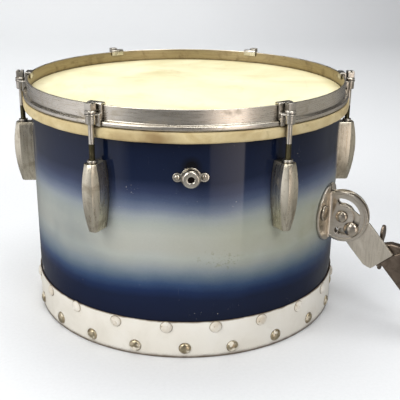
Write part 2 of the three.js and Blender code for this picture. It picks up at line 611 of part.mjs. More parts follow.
function makeArm(tilt, cheekOutside, headSeat) {
  const shape = new THREE.Shape();
  const [left, right] = ARM_SIDES;
  shape.absarc(0, 0, ARM_NOSE_RADIUS, radians(90), radians(270), false);
  shape.lineTo(17, left);
  shape.lineTo(ARM_LENGTH - 7.5, left);
  shape.lineTo(ARM_LENGTH, left + 4);
  shape.lineTo(ARM_LENGTH, right);
  shape.lineTo(22, right);
  const lockRadius = SLOT_WIDTH / 2 - GAP;
  const hole = (radius, x, z) =>
    solid(alongY(rod(radius, -ARM_WALL, ARM_WALL), x, 0, z));
  addNode(tilt, 'holder_arm', cut(solid(plate(shape, -ARM_WALL / 2, ARM_WALL / 2)),
    hole(PIVOT_BOLT_RADIUS + GAP, 0, 0), hole(lockRadius + GAP, SLOT_RADIUS, 0),
    hole(STUD_RADIUS + GAP, swivelAlong, STUD_ACROSS)), 'nickel');
  const wingHub = 12;
  addNode(tilt, 'lock_bolt', domedBolt(LOCK_HEAD_RADIUS, 4.6, lockRadius,
    -headSeat + cheekOutside + wingHub + 3), 'steel').position.set(SLOT_RADIUS, headSeat, 0);
  const lockNut = wingNutBody(6.4, wingHub, 6.4, 9.4, wingHub, 2.6, lockRadius + GAP);
  addNode(tilt, 'lock_wing_nut', lockNut, 'steel')
    .position.set(SLOT_RADIUS, cheekOutside + GAP, 0);
}

// The swivelling clamp behind the arm's end: body, stud, wing nut, jaw pad and jaw screw.
function makeClamp(tilt) {
  const near = ARM_WALL / 2 + GAP;
  const far = near + CLAMP_WALL;
  const middle = (near + far) / 2;
  const along = swivelAlong;
  const across = STUD_ACROSS;
  const slab = (x0, x1, z0, z1) => solid(block(x0, x1, near, far, z0, z1));
  const [left, right] = CLAMP_SIDES;
  const start = ARM_LENGTH;
  const end = start + CLAMP_BLOCK_LENGTH;
  const padStart = end + JAW_OPENING;
  const padEnd = padStart + JAW_PAD_THICKNESS;
  const jawStart = padEnd + JAW_PLAY;
  const jawEnd = jawStart + JAW_WALL;
  const screwEnd = jawEnd + JAW_SCREW_REACH;
  const ear = joined(
    solid(alongY(rod(CLAMP_EAR_RADIUS, 0, CLAMP_WALL, 28), along, near, across)),
    slab(along, start + 1, across - CLAMP_EAR_RADIUS + 3, across + CLAMP_EAR_RADIUS));
  const body = joined(ear, slab(start, end, left, right),
    slab(end - 1, jawEnd, left, left + CLAMP_SPINE), slab(jawStart, jawEnd, left, right));
  const studHole = solid(alongY(rod(STUD_RADIUS + GAP, near - 1, far + 1), along, 0, across));
  const screwHole = solid(alongX(rod(JAW_SCREW_RADIUS + GAP, jawStart - 2, jawEnd + 2),
    0, middle, JAW_ACROSS));
  addNode(tilt, 'clamp_body', cut(body, studHole, screwHole), 'bronze');
  const nutHeight = 12;
  addNode(tilt, 'swivel_stud', solid(alongY(rod(STUD_RADIUS, -ARM_WALL / 2, far + nutHeight + 3),
    along, 0, across)), 'steel');
  const nut = addNode(tilt, 'swivel_wing_nut', wingNutBody(7, nutHeight, 9.2, 15.8, 9.6, 3,
    STUD_RADIUS + GAP), 'bronze');
  nut.position.set(along, far + GAP, across);
  nut.rotation.y = radians(ARM_ANGLE);
  addNode(tilt, 'clamp_jaw_pad', solid(alongX(rod(JAW_PAD_RADIUS, padStart, padEnd, 24),
    0, middle, JAW_ACROSS)), 'steel');
  const screw = solid(alongX(rod(JAW_SCREW_RADIUS, padEnd + GAP, screwEnd),
    0, middle, JAW_ACROSS));
  const thumb = joined(
    solid(alongX(rod(6.5, screwEnd - 5, screwEnd, 20), 0, middle, JAW_ACROSS)),
    solid(block(screwEnd - 4, screwEnd + 4, middle - 11, middle + 11,
      JAW_ACROSS - 1.4, JAW_ACROSS + 1.4)));
  addNode(tilt, 'clamp_jaw_screw', screw.add(thumb), 'steel');
}

makeShell();
makeTopHead();
makeBottomHead();
makeStations();
makeMuffler();
makeHolder();

export default drum;
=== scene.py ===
import math
import random

import bmesh
import bpy
from mathutils import Matrix, Vector


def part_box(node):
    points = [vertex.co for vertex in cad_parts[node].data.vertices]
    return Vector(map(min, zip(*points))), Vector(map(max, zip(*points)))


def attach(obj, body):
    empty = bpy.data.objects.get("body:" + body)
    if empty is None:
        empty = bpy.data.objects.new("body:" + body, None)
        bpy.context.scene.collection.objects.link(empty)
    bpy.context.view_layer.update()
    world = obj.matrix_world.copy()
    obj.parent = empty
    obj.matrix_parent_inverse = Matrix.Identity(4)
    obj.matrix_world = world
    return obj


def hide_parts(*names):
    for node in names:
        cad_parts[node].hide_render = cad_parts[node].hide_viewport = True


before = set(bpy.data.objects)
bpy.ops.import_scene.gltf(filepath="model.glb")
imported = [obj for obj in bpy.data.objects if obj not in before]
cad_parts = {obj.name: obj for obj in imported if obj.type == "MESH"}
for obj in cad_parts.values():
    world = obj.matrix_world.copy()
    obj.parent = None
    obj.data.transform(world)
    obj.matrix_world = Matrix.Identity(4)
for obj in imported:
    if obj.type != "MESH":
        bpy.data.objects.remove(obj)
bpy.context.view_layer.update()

random.seed(13)
MM = 0.001

# ---- Sizes in millimetres, from the frame where a node gives them ----


def node_low(node, axis):
    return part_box(node)[0][axis] / MM


def node_high(node, axis):
    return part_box(node)[1][axis] / MM


SHELL_FOOT = node_low("shell", 2)
SHELL_TOP = node_high("shell", 2)
SHELL_RADIUS = node_high("shell", 0)
SHELL_INSIDE = SHELL_RADIUS - 5.5
HEAD_TOP = node_high("batter_head", 2)
HEAD_RADIUS = node_high("batter_head", 0)
FLESH_FOOT = node_low("flesh_hoop", 2)
FLESH_RADIUS = node_high("flesh_hoop", 0)
HOOP_FOOT = node_low("counter_hoop", 2)
HOOP_TOP = node_high("counter_hoop", 2)
HOOP_INSIDE = HEAD_RADIUS + 0.3
HOOP_OUTSIDE = HOOP_INSIDE + 1.65
FLANGE_RADIUS = node_high("counter_hoop", 0)
BAND_TOP = node_high("bottom_head", 2)
BAND_INSIDE = SHELL_RADIUS + 0.3
BAND_OUTSIDE = BAND_INSIDE + 0.9
ROD_CIRCLE = 176.9
ROD_RADIUS = 2.7
ROD_FOOT = node_low("tension_rod_1", 2)
ROD_TOP = node_high("tension_rod_1", 2)
LUG_FOOT = node_low("lug_1", 2)
LUG_TOP = node_high("lug_1", 2)
STATIONS = (-30, 30, 90, 150, -150, -90)
HOLDER_AZIMUTH = 61.4
PIVOT = (181.5, 117.9)
CHEEK_RADIUS = 26.9
ARM_TURN = 48
ARM_LENGTH = 61.6
ARM_NOSE_RADIUS = 12.5
CHEEK_NEAR = 1.9
CHEEK_WALL = 2.5
FLANGE_WIDTH = 28
FLANGE_HEIGHT = 59
FLANGE_MIDDLE = 120
FLANGE_BOLT_OFFSET = 17.8
FLANGE_BOLT_HEIGHT = 124
ROD_PITCH = 1.058
JAW_PITCH = 1.25
JAW_SCREW_REACH = 19.5
KNOB_RADIUS = 8.5
EAR_OFFSET = 12.25
TACKS_IN_ROW = 21
MUFFLER_HEIGHT = (node_low("muffler_knob", 2) + node_high("muffler_knob", 2)) / 2

# ---- Mesh tools ----


def turn(degrees, axis="Z"):
    return Matrix.Rotation(math.radians(degrees), 4, axis)


def shift(x, y, z):
    return Matrix.Translation((x, y, z))


def tidy(bm):
    bmesh.ops.remove_doubles(bm, verts=bm.verts, dist=0.002)
    bmesh.ops.dissolve_degenerate(bm, edges=bm.edges, dist=0.001)
    bmesh.ops.recalc_face_normals(bm, faces=bm.faces)
    return bm


def place(bm, matrix):
    bmesh.ops.transform(bm, matrix=matrix, verts=bm.verts)
    if matrix.determinant() < 0:
        bmesh.ops.reverse_faces(bm, faces=bm.faces)
    return bm


def joined(first, *others):
    for other in others:
        mesh = bpy.data.meshes.new("part")
        other.to_mesh(mesh)
        other.free()
        first.from_mesh(mesh)
        bpy.data.meshes.remove(mesh)
    return first


def rounded(corners, radius, steps=3, closed=True):
    """A polyline with its corners rounded; a third number sets one corner's own radius."""
    out = []
    for i, corner in enumerate(corners):
        here = Vector(corner[:2])
        reach = corner[2] if len(corner) > 2 else radius
        if reach == 0 or (not closed and i in (0, len(corners) - 1)):
            out.append(tuple(here))
            continue
        back = Vector(corners[i - 1][:2]) - here
        on = Vector(corners[(i + 1) % len(corners)][:2]) - here
        reach = min(reach, 0.48 * back.length, 0.48 * on.length)
        start, end = here + back.normalized() * reach, here + on.normalized() * reach
        for k in range(steps + 1):
            t = k / steps
            out.append(tuple(start * (1 - t) ** 2 + here * 2 * t * (1 - t) + end * t * t))
    return out


def turned(profile, steps=48, angle=360):
    """Turned work about Z from (radius, height) corners."""
    bm = bmesh.new()
    corners = [bm.verts.new((r, 0, z)) for r, z in profile]
    pairs = list(zip(corners, corners[1:]))
    if profile[0][0] > 0 or profile[-1][0] > 0:
        pairs.append((corners[-1], corners[0]))
    edges = [bm.edges.new(pair) for pair in pairs]
    full = angle == 360
    start = None if full else bm.faces.new(corners)
    spun = bmesh.ops.spin(bm, geom=corners + edges, cent=(0, 0, 0), axis=(0, 0, 1),
                          angle=math.radians(angle), steps=steps, use_merge=full)
    if start is not None:
        bm.faces.new([v for v in spun["geom_last"] if isinstance(v, bmesh.types.BMVert)])
    return tidy(bm)


def arc(radius, start, end, steps=24, centre=(0, 0)):
    turns = [math.radians(start + (end - start) * i / steps) for i in range(steps + 1)]
    return [(centre[0] + radius * math.cos(t), centre[1] + radius * math.sin(t)) for t in turns]


def hole(radius, centre=(0, 0), steps=28):
    return arc(radius, 0, 360, steps, centre)[:-1]


def plate(outline, thickness, edge=0.35, holes=(), steps=2):
    """A flat plate in X and Y with eased edges, its thickness centred on Z."""
    curve = bpy.data.curves.new("outline", "CURVE")
    curve.dimensions = "2D"
    curve.fill_mode = "BOTH"
    curve.extrude = thickness / 2 - edge
    curve.bevel_depth = edge
    curve.bevel_resolution = steps
    curve.offset = -edge
    for corners in (outline, *holes):
        spline = curve.splines.new("POLY")
        spline.points.add(len(corners) - 1)
        for point, (x, y) in zip(spline.points, corners):
            point.co = (x, y, 0, 1)
        spline.use_cyclic_u = True
    carrier = bpy.data.objects.new("outline", curve)
    bpy.context.scene.collection.objects.link(carrier)
    graph = bpy.context.evaluated_depsgraph_get()
    mesh = bpy.data.meshes.new_from_object(carrier.evaluated_get(graph))
    bm = bmesh.new()
    bm.from_mesh(mesh)
    bpy.data.objects.remove(carrier)
    bpy.data.curves.remove(curve)
    bpy.data.meshes.remove(mesh)
    return tidy(bm)


def standing(bm):
    """Turns a plate drawn in X and Y upright, so that its second axis is Z."""
    return place(bm, turn(90, "X"))


def block(x0, x1, y0, y1, z0, z1, edge=0.4, segments=2):
    bm = bmesh.new()
    bmesh.ops.create_cube(bm, size=1)
    place(bm, shift((x0 + x1) / 2, (y0 + y1) / 2, (z0 + z1) / 2)
          @ Matrix.Diagonal((x1 - x0, y1 - y0, z1 - z0, 1)))
    bmesh.ops.bevel(bm, geom=bm.edges, offset=edge, affect="EDGES", segments=segments,
                    profile=0.5, material=-1)
    return tidy(bm)


def dome(radius, height, rim=0.4, steps=32, levels=7, depth=0.3):
    """A low dome from z = 0 up, with an upright rim and a foot sunk by its depth."""
    profile = [(0, -depth), (radius, -depth), (radius, rim)]
    for i in range(1, levels + 1):
        t = math.pi / 2 * i / levels
        profile.append((0 if i == levels else radius * math.cos(t),
                        rim + (height - rim) * math.sin(t)))
    return turned(profile, steps)


def slotted(bm, width, depth, top):
    """Cuts a driver's slot across the top of a round head."""
    for side in (-1, 1):
        bmesh.ops.bisect_plane(bm, geom=bm.verts[:] + bm.edges[:] + bm.faces[:],
                               plane_co=(0, side * width / 2, 0), plane_no=(0, 1, 0))
    strip = [f for f in bm.faces if abs(f.calc_center_median().y) < width / 2
             and f.normal.z > 0.25 and f.calc_center_median().z > 0]
    out = bmesh.ops.extrude_face_region(bm, geom=strip)
    floor = [v for v in out["geom"] if isinstance(v, bmesh.types.BMVert)]
    for v in floor:
        v.co.z = min(v.co.z - 0.05, top - depth)
    bmesh.ops.recalc_face_normals(bm, faces=bm.faces)
    return bm


def piece(name, bm, body, material, nodes=(), smooth=38):
    """Makes the finished piece, in metres, riding on its body in place of its CAD nodes."""
    bmesh.ops.scale(bm, vec=(MM, MM, MM), verts=bm.verts)
    mesh = bpy.data.meshes.new(name)
    bm.to_mesh(mesh)
    bm.free()
    for each in (material if isinstance(material, tuple) else (material,)):
        mesh.materials.append(each)
    mesh.shade_smooth()
    mesh.set_sharp_from_angle(angle=math.radians(smooth))
    obj = bpy.data.objects.new(name, mesh)
    bpy.context.scene.collection.objects.link(obj)
    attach(obj, body)
    if nodes:
        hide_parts(*nodes)
    return obj


# ---- Shader tools ----


def srgb(red, green, blue):
    """A colour written in 0 to 255, as the shader's linear one."""
    def linear(value):
        value /= 255
        return value / 12.92 if value <= 0.04045 else ((value + 0.055) / 1.055) ** 2.4
    return (linear(red), linear(green), linear(blue), 1)


def fill(socket, value, tree):
    if isinstance(value, bpy.types.NodeSocket):
        tree.links.new(value, socket)
    else:
        socket.default_value = value


def add(tree, kind, settings=None, **inputs):
    """Adds a node; underscores in a socket's name stand for its spaces."""
    node = tree.nodes.new("ShaderNode" + kind)
    for name, value in (settings or {}).items():
        setattr(node, name, value)
    for name, value in inputs.items():
        fill(node.inputs[name.replace("_", " ")], value, tree)
    return node


def sums(tree, operation, *values, clamp=False):
    node = tree.nodes.new("ShaderNodeMath")
    node.operation = operation
    node.use_clamp = clamp
    for socket, value in zip(node.inputs, values):
        fill(socket, value, tree)
    return node.outputs[0]


def times(tree, *values, clamp=False):
    return sums(tree, "MULTIPLY", *values, clamp=clamp)


def own_place(tree):
    """Where the surface is on its own piece, in metres."""
    return add(tree, "TexCoord").outputs["Object"]


def mixed(tree, factor, first, second, mode="MIX"):
    node = tree.nodes.new("ShaderNodeMix")
    node.data_type = "RGBA"
    node.blend_type = mode
    for index, value in ((0, factor), (6, first), (7, second)):
        fill(node.inputs[index], value, tree)
    return node.outputs[2]


def noise(tree, where, scale, detail=3, rough=0.55, warp=0.0):
    return add(tree, "TexNoise", Vector=where, Scale=scale, Detail=detail, Roughness=rough,
               Distortion=warp).outputs[0]


def between(tree, value, low, high, out_low=0.0, out_high=1.0):
    return add(tree, "MapRange", Value=value, From_Min=low, From_Max=high, To_Min=out_low,
               To_Max=out_high).outputs[0]


def ramp(tree, value, stops, smooth="LINEAR"):
    node = tree.nodes.new("ShaderNodeValToRGB")
    node.color_ramp.interpolation = smooth
    for _ in stops[2:]:
        node.color_ramp.elements.new(0.5)
    for element, (place_, colour) in zip(node.color_ramp.elements, stops):
        element.position = place_
        element.color = colour
    fill(node.inputs[0], value, tree)
    return node.outputs[0]


def stretched(tree, scale):
    where = own_place(tree)
    return add(tree, "Mapping", Vector=where, Scale=scale).outputs[0]


def heights(tree, low, high):
    """How far up from low to high the surface is, from 0 to 1; metres."""
    where = own_place(tree)
    return between(tree, add(tree, "SeparateXYZ", Vector=where).outputs[2], low, high)


def group(name, inputs, outputs):
    tree = bpy.data.node_groups.new(name, "ShaderNodeTree")
    for label, kind, value in inputs:
        socket = tree.interface.new_socket(label, in_out="INPUT", socket_type="NodeSocket" + kind)
        if value is not None:
            socket.default_value = value
    for label, kind in outputs:
        tree.interface.new_socket(label, in_out="OUTPUT", socket_type="NodeSocket" + kind)
    return tree, tree.nodes.new("NodeGroupInput").outputs, tree.nodes.new("NodeGroupOutput").inputs


def use(tree, shared, **inputs):
    node = tree.nodes.new("ShaderNodeGroup")
    node.node_tree = shared
    for name, value in inputs.items():
        fill(node.inputs[name.replace("_", " ")], value, tree)
    return node.outputs


def make_edge_wear():
    """1 along outside edges of the width asked for, broken up by noise."""
    tree, given, out = group("edge_wear", [("Width", "Float", 0.001), ("Amount", "Float", 0.7)],
                             [("Mask", "Float")])
    soft = add(tree, "Bevel", {"samples": 4}, Radius=given["Width"]).outputs[0]
    hard = add(tree, "NewGeometry").outputs["Normal"]
    dot = add(tree, "VectorMath", {"operation": "DOT_PRODUCT"})
    tree.links.new(soft, dot.inputs[0])
    tree.links.new(hard, dot.inputs[1])
    edge = between(tree, dot.outputs["Value"], 0.995, 0.90)
    where = own_place(tree)
    patchy = between(tree, noise(tree, where, 260, 4, 0.6), 0.36, 0.6, 0.25, 1)
    tree.links.new(times(tree, times(tree, edge, patchy), given["Amount"], clamp=True), out["Mask"])
    return tree


def make_tarnish():
    """Cloudy stains and a fine speckle of pits."""
    tree, given, out = group("tarnish", [("Scale", "Float", 60), ("Cover", "Float", 0.5)],
                             [("Mask", "Float"), ("Pits", "Float")])
    where = own_place(tree)
    cloud = noise(tree, where, given["Scale"], 6, 0.62, 0.6)
    low = sums(tree, "SUBTRACT", 0.66, times(tree, given["Cover"], 0.3))
    mask = between(tree, cloud, low, sums(tree, "ADD", low, 0.22))
    tree.links.new(mask, out["Mask"])
    fine = noise(tree, where, times(tree, given["Scale"], 16), 2, 0.5)
    tree.links.new(between(tree, fine, 0.66, 0.74), out["Pits"])
    return tree


def make_grain():
    """Long fine lines, as brushing or wood grain leaves them, along the short scale."""
    tree, given, out = group("grain", [("Scale", "Vector", (1, 1, 1)), ("Contrast", "Float", 1)],
                             [("Lines", "Float")])
    where = own_place(tree)
    moved = add(tree, "VectorMath", {"operation": "MULTIPLY"})
    tree.links.new(where, moved.inputs[0])
    tree.links.new(given["Scale"], moved.inputs[1])
    lines = noise(tree, moved.outputs[0], 1, 4, 0.6)
    centred = times(tree, sums(tree, "SUBTRACT", lines, 0.5), given["Contrast"])
    tree.links.new(sums(tree, "ADD", centred, 0.5, clamp=True), out["Lines"])
    return tree


def make_scuffs():
    """Sparse short scratches and small chips."""
    tree, given, out = group("scuffs", [("Scratches", "Float", 0.5), ("Chips", "Float", 0.5)],
                             [("Scratch", "Float"), ("Chip", "Float")])
    scratches = None
    for scale, tilt in (((1500, 1500, 60), 0.6), ((1300, 1300, 80), -0.25)):
        where = own_place(tree)
        moved = add(tree, "Mapping", Vector=where, Rotation=(tilt, tilt / 2, 0), Scale=scale)
        line = between(tree, noise(tree, moved.outputs[0], 1, 2, 0.4), 0.73, 0.78)
        scratches = line if scratches is None else sums(tree, "MAXIMUM", scratches, line)
    where = own_place(tree)
    area = between(tree, noise(tree, where, 22, 2), 0.5, 0.66)
    masked = times(tree, scratches, area)
    tree.links.new(times(tree, masked, given["Scratches"]), out["Scratch"])
    spots = between(tree, noise(tree, where, 420, 2, 0.7), 0.735, 0.75)
    tree.links.new(times(tree, times(tree, spots, area), given["Chips"], clamp=True), out["Chip"])
    return tree


def make_crevice_shade():
    """1 deep in corners and under edges, where shade falls: painted shade from ambient occlusion, broken up
    by noise.
    """
    tree, given, out = group("crevice_shade", [("Reach", "Float", 0.004), ("Amount", "Float", 0.8)],
                             [("Mask", "Float")])
    open_sky = add(tree, "AmbientOcclusion", {"samples": 6}, Distance=given["Reach"]).outputs["AO"]
    where = own_place(tree)
    patchy = between(tree, noise(tree, where, 200, 3), 0.3, 0.65, 0.55, 1)
    deep = between(tree, open_sky, 0.82, 0.35)
    tree.links.new(times(tree, times(tree, deep, patchy), given["Amount"], clamp=True), out["Mask"])
    return tree


def make_spot():
    """A soft oval place on the front, in metres across and up, filled with specks."""
    tree, given, out = group("spot", [("Across", "Float", 0), ("Up", "Float", 0.1),
                                      ("Half Width", "Float", 0.01), ("Half Height", "Float", 0.01),
                                      ("Fineness", "Float", 500), ("Cover", "Float", 0.3),
                                      ("Softness", "Float", 0.05)], [("Mask", "Float")])
    where = own_place(tree)
    parts = add(tree, "SeparateXYZ", Vector=where).outputs
    across = sums(tree, "DIVIDE", sums(tree, "SUBTRACT", parts[0], given["Across"]),
                  given["Half Width"])
    up = sums(tree, "DIVIDE", sums(tree, "SUBTRACT", parts[2], given["Up"]), given["Half Height"])
    away = sums(tree, "SQRT", sums(tree, "ADD", times(tree, across, across),
                                   times(tree, up, up)))
    near = between(tree, away, 1.0, 0.4)
    front = between(tree, parts[1], 0.0, -0.05)
    specks = noise(tree, where, given["Fineness"], 3, 0.65)
    least = sums(tree, "SUBTRACT", 0.72, times(tree, given["Cover"], 0.35))
    shown = between(tree, specks, least, sums(tree, "ADD", least, given["Softness"]))
    tree.links.new(times(tree, times(tree, near, front), shown), out["Mask"])
    return tree


edge_wear = make_edge_wear()
crevice_shade = make_crevice_shade()
spot = make_spot()
tarnish = make_tarnish()
grain = make_grain()
scuffs = make_scuffs()


def shader(name, **constants):
    """A material with a Principled shader; the constants go on the shader's own sockets."""
    material = bpy.data.materials.new(name)
    material.use_nodes = True
    tree = material.node_tree
    principled = tree.nodes["Principled BSDF"]
    for label, value in constants.items():
        principled.inputs[label.replace("_", " ")].default_value = value
    return material, tree, principled.inputs


def bumped(tree, sockets, height, strength, distance=0.0003):
    fill(sockets["Normal"], add(tree, "Bump", Strength=strength, Distance=distance,
                                Height=height).outputs[0], tree)


# ---- Finishes ----

BURST = [  # height in millimetres and colour, from the foot up
    (39, (8, 19, 46)), (62, (12, 26, 56)), (70, (20, 40, 78)), (78, (50, 72, 106)),
    (86, (94, 110, 126)), (93, (128, 138, 146)), (99, (152, 158, 156)), (106, (170, 174, 168)),
    (113, (172, 173, 164)), (128, (174, 176, 167)), (138, (163, 168, 162)),
    (146, (148, 156, 160)), (154, (108, 118, 138)), (162, (72, 84, 110)), (170, (46, 56, 84)),
    (182, (16, 28, 54)), (212, (9, 20, 44)),
]


def make_burst_lacquer():
    material, tree, sockets = shader("burst_lacquer", Coat_Roughness=0.05, IOR=1.5,
                                     Specular_IOR_Level=0.04)
    where = own_place(tree)
    up = add(tree, "SeparateXYZ", Vector=where).outputs[2]
    drift = between(tree, noise(tree, where, 9, 3), 0, 1, -0.010, 0.010)
    spray = between(tree, noise(tree, where, 900, 2), 0, 1, -0.0016, 0.0016)
    level = sums(tree, "ADD", sums(tree, "ADD", up, drift), spray)
    share = between(tree, level, BURST[0][0] * MM, BURST[-1][0] * MM)
    span = BURST[-1][0] - BURST[0][0]
    colour = ramp(tree, share, [((z - BURST[0][0]) / span, srgb(*c)) for z, c in BURST])
    # Silver flake, and a warm age tint where the clear coat has yellowed.
    flake = between(tree, noise(tree, where, 2600, 1), 0.35, 0.7, 0.93, 1.07)
    bright = add(tree, "HueSaturation", Value=flake, Color=colour).outputs[0]
    age = between(tree, noise(tree, where, 5, 4), 0.42, 0.7, 0, 0.35)
    aged = mixed(tree, age, bright, srgb(214, 208, 170), "MULTIPLY")
    marks = use(tree, scuffs, Scratches=0.3, Chips=0.8)
    coated = mixed(tree, marks["Scratch"], aged, srgb(120, 122, 112))
    for across, up_, wide, high, fine, cover, soft, share_, tone in (
            (-0.056, 0.173, 0.010, 0.009, 560, 0.16, 0.05, 0.75, (214, 212, 204)),
            (0.014, 0.150, 0.016, 0.022, 420, 0.14, 0.05, 0.75, (170, 166, 150)),
            (0.026, 0.104, 0.026, 0.012, 240, 0.42, 0.05, 0.75, (138, 140, 120)),
            (0.034, 0.100, 0.018, 0.010, 420, 0.34, 0.05, 0.75, (112, 114, 92)),
            (0.085, 0.122, 0.075, 0.044, 14, 1.20, 0.45, 0.45, (138, 142, 112)),
            (-0.140, 0.120, 0.080, 0.044, 12, 1.30, 0.45, 0.50, (112, 124, 128)),
            (0.124, 0.120, 0.030, 0.044, 60, 0.70, 0.30, 0.30, (132, 134, 96)),
            (0.130, 0.083, 0.010, 0.020, 260, 0.45, 0.15, 0.40, (70, 74, 56)),
            (-0.020, 0.160, 0.030, 0.016, 700, 0.06, 0.05, 0.75, (150, 148, 140))):
        there = use(tree, spot, Across=across, Up=up_, Half_Width=wide, Half_Height=high,
                    Fineness=fine, Cover=cover, Softness=soft)["Mask"]
        coated = mixed(tree, times(tree, there, share_), coated, srgb(*tone))
    # Painted reflection: a near-black round patch above the muffler knob stands in for the knob mirrored in
    # the gloss.
    painted_knob_reflection = use(tree, spot, Across=0.0005, Up=MUFFLER_HEIGHT * MM + 0.0095, Half_Width=0.0105,
                 Half_Height=0.0105, Fineness=60, Cover=1.6)["Mask"]
    coated = mixed(tree, painted_knob_reflection, coated, srgb(7, 8, 14))
    chipped = mixed(tree, marks["Chip"], coated, srgb(226, 222, 210))
    # Painted shade: the lacquer goes near black in the corners round the hardware.
    under = use(tree, crevice_shade, Reach=0.012, Amount=0.75)["Mask"]
    fill(sockets["Base Color"], mixed(tree, under, chipped, srgb(12, 13, 18)), tree)
    haze = noise(tree, where, 30, 5)
    fill(sockets["Roughness"], between(tree, haze, 0.3, 0.7, 0.30, 0.48), tree)
    coat = sums(tree, "SUBTRACT", 0.5, times(tree, marks["Scratch"], 0.5), clamp=True)
    fill(sockets["Coat Weight"], coat, tree)
    ripple = noise(tree, stretched(tree, (30, 30, 9)), 1, 2)
    height = sums(tree, "SUBTRACT", ripple, sums(tree, "ADD", marks["Scratch"], marks["Chip"]))
    bumped(tree, sockets, height, 0.12, 0.0004)
    return material


def make_wood(name, light, dark, scale, rough=0.55):
    material, tree, sockets = shader(name, Specular_IOR_Level=0.35)
    lines = use(tree, grain, Scale=scale, Contrast=1.7)["Lines"]
    where = own_place(tree)
    patch = noise(tree, where, 14, 3)
    tone = sums(tree, "ADD", times(tree, lines, 0.7), times(tree, patch, 0.3))
    fill(sockets["Base Color"], ramp(tree, tone, [(0.25, dark), (0.7, light)]), tree)
    fill(sockets["Roughness"], between(tree, lines, 0, 1, rough + 0.12, rough - 0.08), tree)
    bumped(tree, sockets, lines, 0.3, 0.0002)
    return material


def make_calf_skin():
    material, tree, sockets = shader("calf_skin", Specular_IOR_Level=0.35)
    where = own_place(tree)
    cloud = noise(tree, where, 9, 5, 0.6, 0.8)
    base = ramp(tree, cloud, [(0.3, srgb(226, 214, 162)), (0.52, srgb(244, 237, 196)),
                              (0.75, srgb(250, 244, 212))])
    stain = between(tree, noise(tree, where, 16, 6, 0.65, 1.2), 0.56, 0.76, 0, 0.5)
    stained = mixed(tree, stain, base, srgb(206, 182, 128))
    veins = between(tree, noise(tree, stretched(tree, (60, 7, 7)), 1, 5, 0.7, 2), 0.6, 0.75, 0, 0.22)
    veined = mixed(tree, veins, stained, srgb(190, 168, 120))
    parts = add(tree, "SeparateXYZ", Vector=where).outputs
    square = sums(tree, "ADD", times(tree, parts[0], parts[0]),
                  times(tree, parts[1], parts[1]))
    rim = between(tree, sums(tree, "SQRT", square), 0.150, 0.1655, 0, 0.55)
    fill(sockets["Base Color"], mixed(tree, rim, veined, srgb(196, 178, 130)), tree)
    fill(sockets["Roughness"], between(tree, cloud, 0.3, 0.7, 0.42, 0.6), tree)
    wavy = sums(tree, "ADD", noise(tree, where, 26, 4), times(tree, veins, 0.4))
    bumped(tree, sockets, wavy, 0.18, 0.0006)
    return material


def make_tucked_skin():
    material, tree, sockets = shader("tucked_skin", Specular_IOR_Level=0.3)
    where = own_place(tree)
    cloud = noise(tree, where, 34, 6, 0.62, 1.0)
    base = ramp(tree, cloud, [(0.25, srgb(186, 162, 114)), (0.5, srgb(206, 187, 140)),
                              (0.75, srgb(222, 206, 164))])
    stains = use(tree, tarnish, Scale=90, Cover=0.3)["Mask"]
    stained = mixed(tree, times(tree, stains, 0.42), base, srgb(132, 106, 68))
    # A darker patch low on the front left of the wrapped hoop.
    low_front_patch = use(tree, spot, Across=-0.040, Up=(FLESH_FOOT + 4) * MM, Half_Width=0.034,
              Half_Height=0.012, Fineness=30, Cover=1.4, Softness=0.4)["Mask"]
    stained = mixed(tree, times(tree, low_front_patch, 0.85), stained, srgb(140, 114, 74))
    # Painted shadow: darker along the lower edge, where the wrapped hoop meets the shell.
    low = heights(tree, (FLESH_FOOT + 2.6) * MM, (FLESH_FOOT - 0.5) * MM)
    hoop_foot_shadow = mixed(tree, times(tree, low, 0.4), stained, srgb(120, 96, 60))
    # Painted shade: dark brown in creases and corners.
    corners = use(tree, crevice_shade, Reach=0.006, Amount=0.9)["Mask"]
    fill(sockets["Base Color"], mixed(tree, corners, hoop_foot_shadow, srgb(58, 42, 24)), tree)
    fill(sockets["Roughness"], between(tree, cloud, 0.3, 0.7, 0.5, 0.75), tree)
    creases = noise(tree, stretched(tree, (160, 160, 40)), 1, 5, 0.65, 1.5)
    bumped(tree, sockets, creases, 0.5, 0.0008)
    return material


def make_nickel(name, light, dark, cover=0.5, rough=0.22, lines=(60, 60, 60), wear=0.5,
                brush=0.25, scale=70, dirt_and_shade=0.85):
    """Old nickel plate: stained and pitted, brighter where its edges are handled, with painted shade in its
    corners.
    """
    material, tree, sockets = shader(name, Metallic=1.0)
    spots = use(tree, tarnish, Scale=scale, Cover=cover)
    brushed = use(tree, grain, Scale=lines, Contrast=1.6)["Lines"]
    stained = mixed(tree, times(tree, spots["Mask"], 0.75), light, dark)
    pitted = mixed(tree, times(tree, spots["Pits"], 0.7), stained, srgb(70, 58, 42))
    rubbed = use(tree, edge_wear, Width=0.0007, Amount=wear)["Mask"]
    streak = mixed(tree, times(tree, between(tree, brushed, 0.55, 0.2), 0.5), pitted, dark)
    bright = mixed(tree, rubbed, streak, srgb(236, 228, 210))
    # Painted shade: near black in corners and recesses.
    corners = use(tree, crevice_shade, Reach=0.005, Amount=dirt_and_shade)["Mask"]
    fill(sockets["Base Color"], mixed(tree, corners, bright, srgb(40, 33, 26)), tree)
    dull = sums(tree, "ADD", rough, times(tree, spots["Mask"], 0.22))
    fill(sockets["Roughness"], sums(tree, "ADD", dull, between(tree, brushed, 0, 1, -0.06, 0.1)),
         tree)
    height = sums(tree, "SUBTRACT", times(tree, brushed, brush), spots["Pits"])
    bumped(tree, sockets, height, 0.25, 0.00012)
    return material


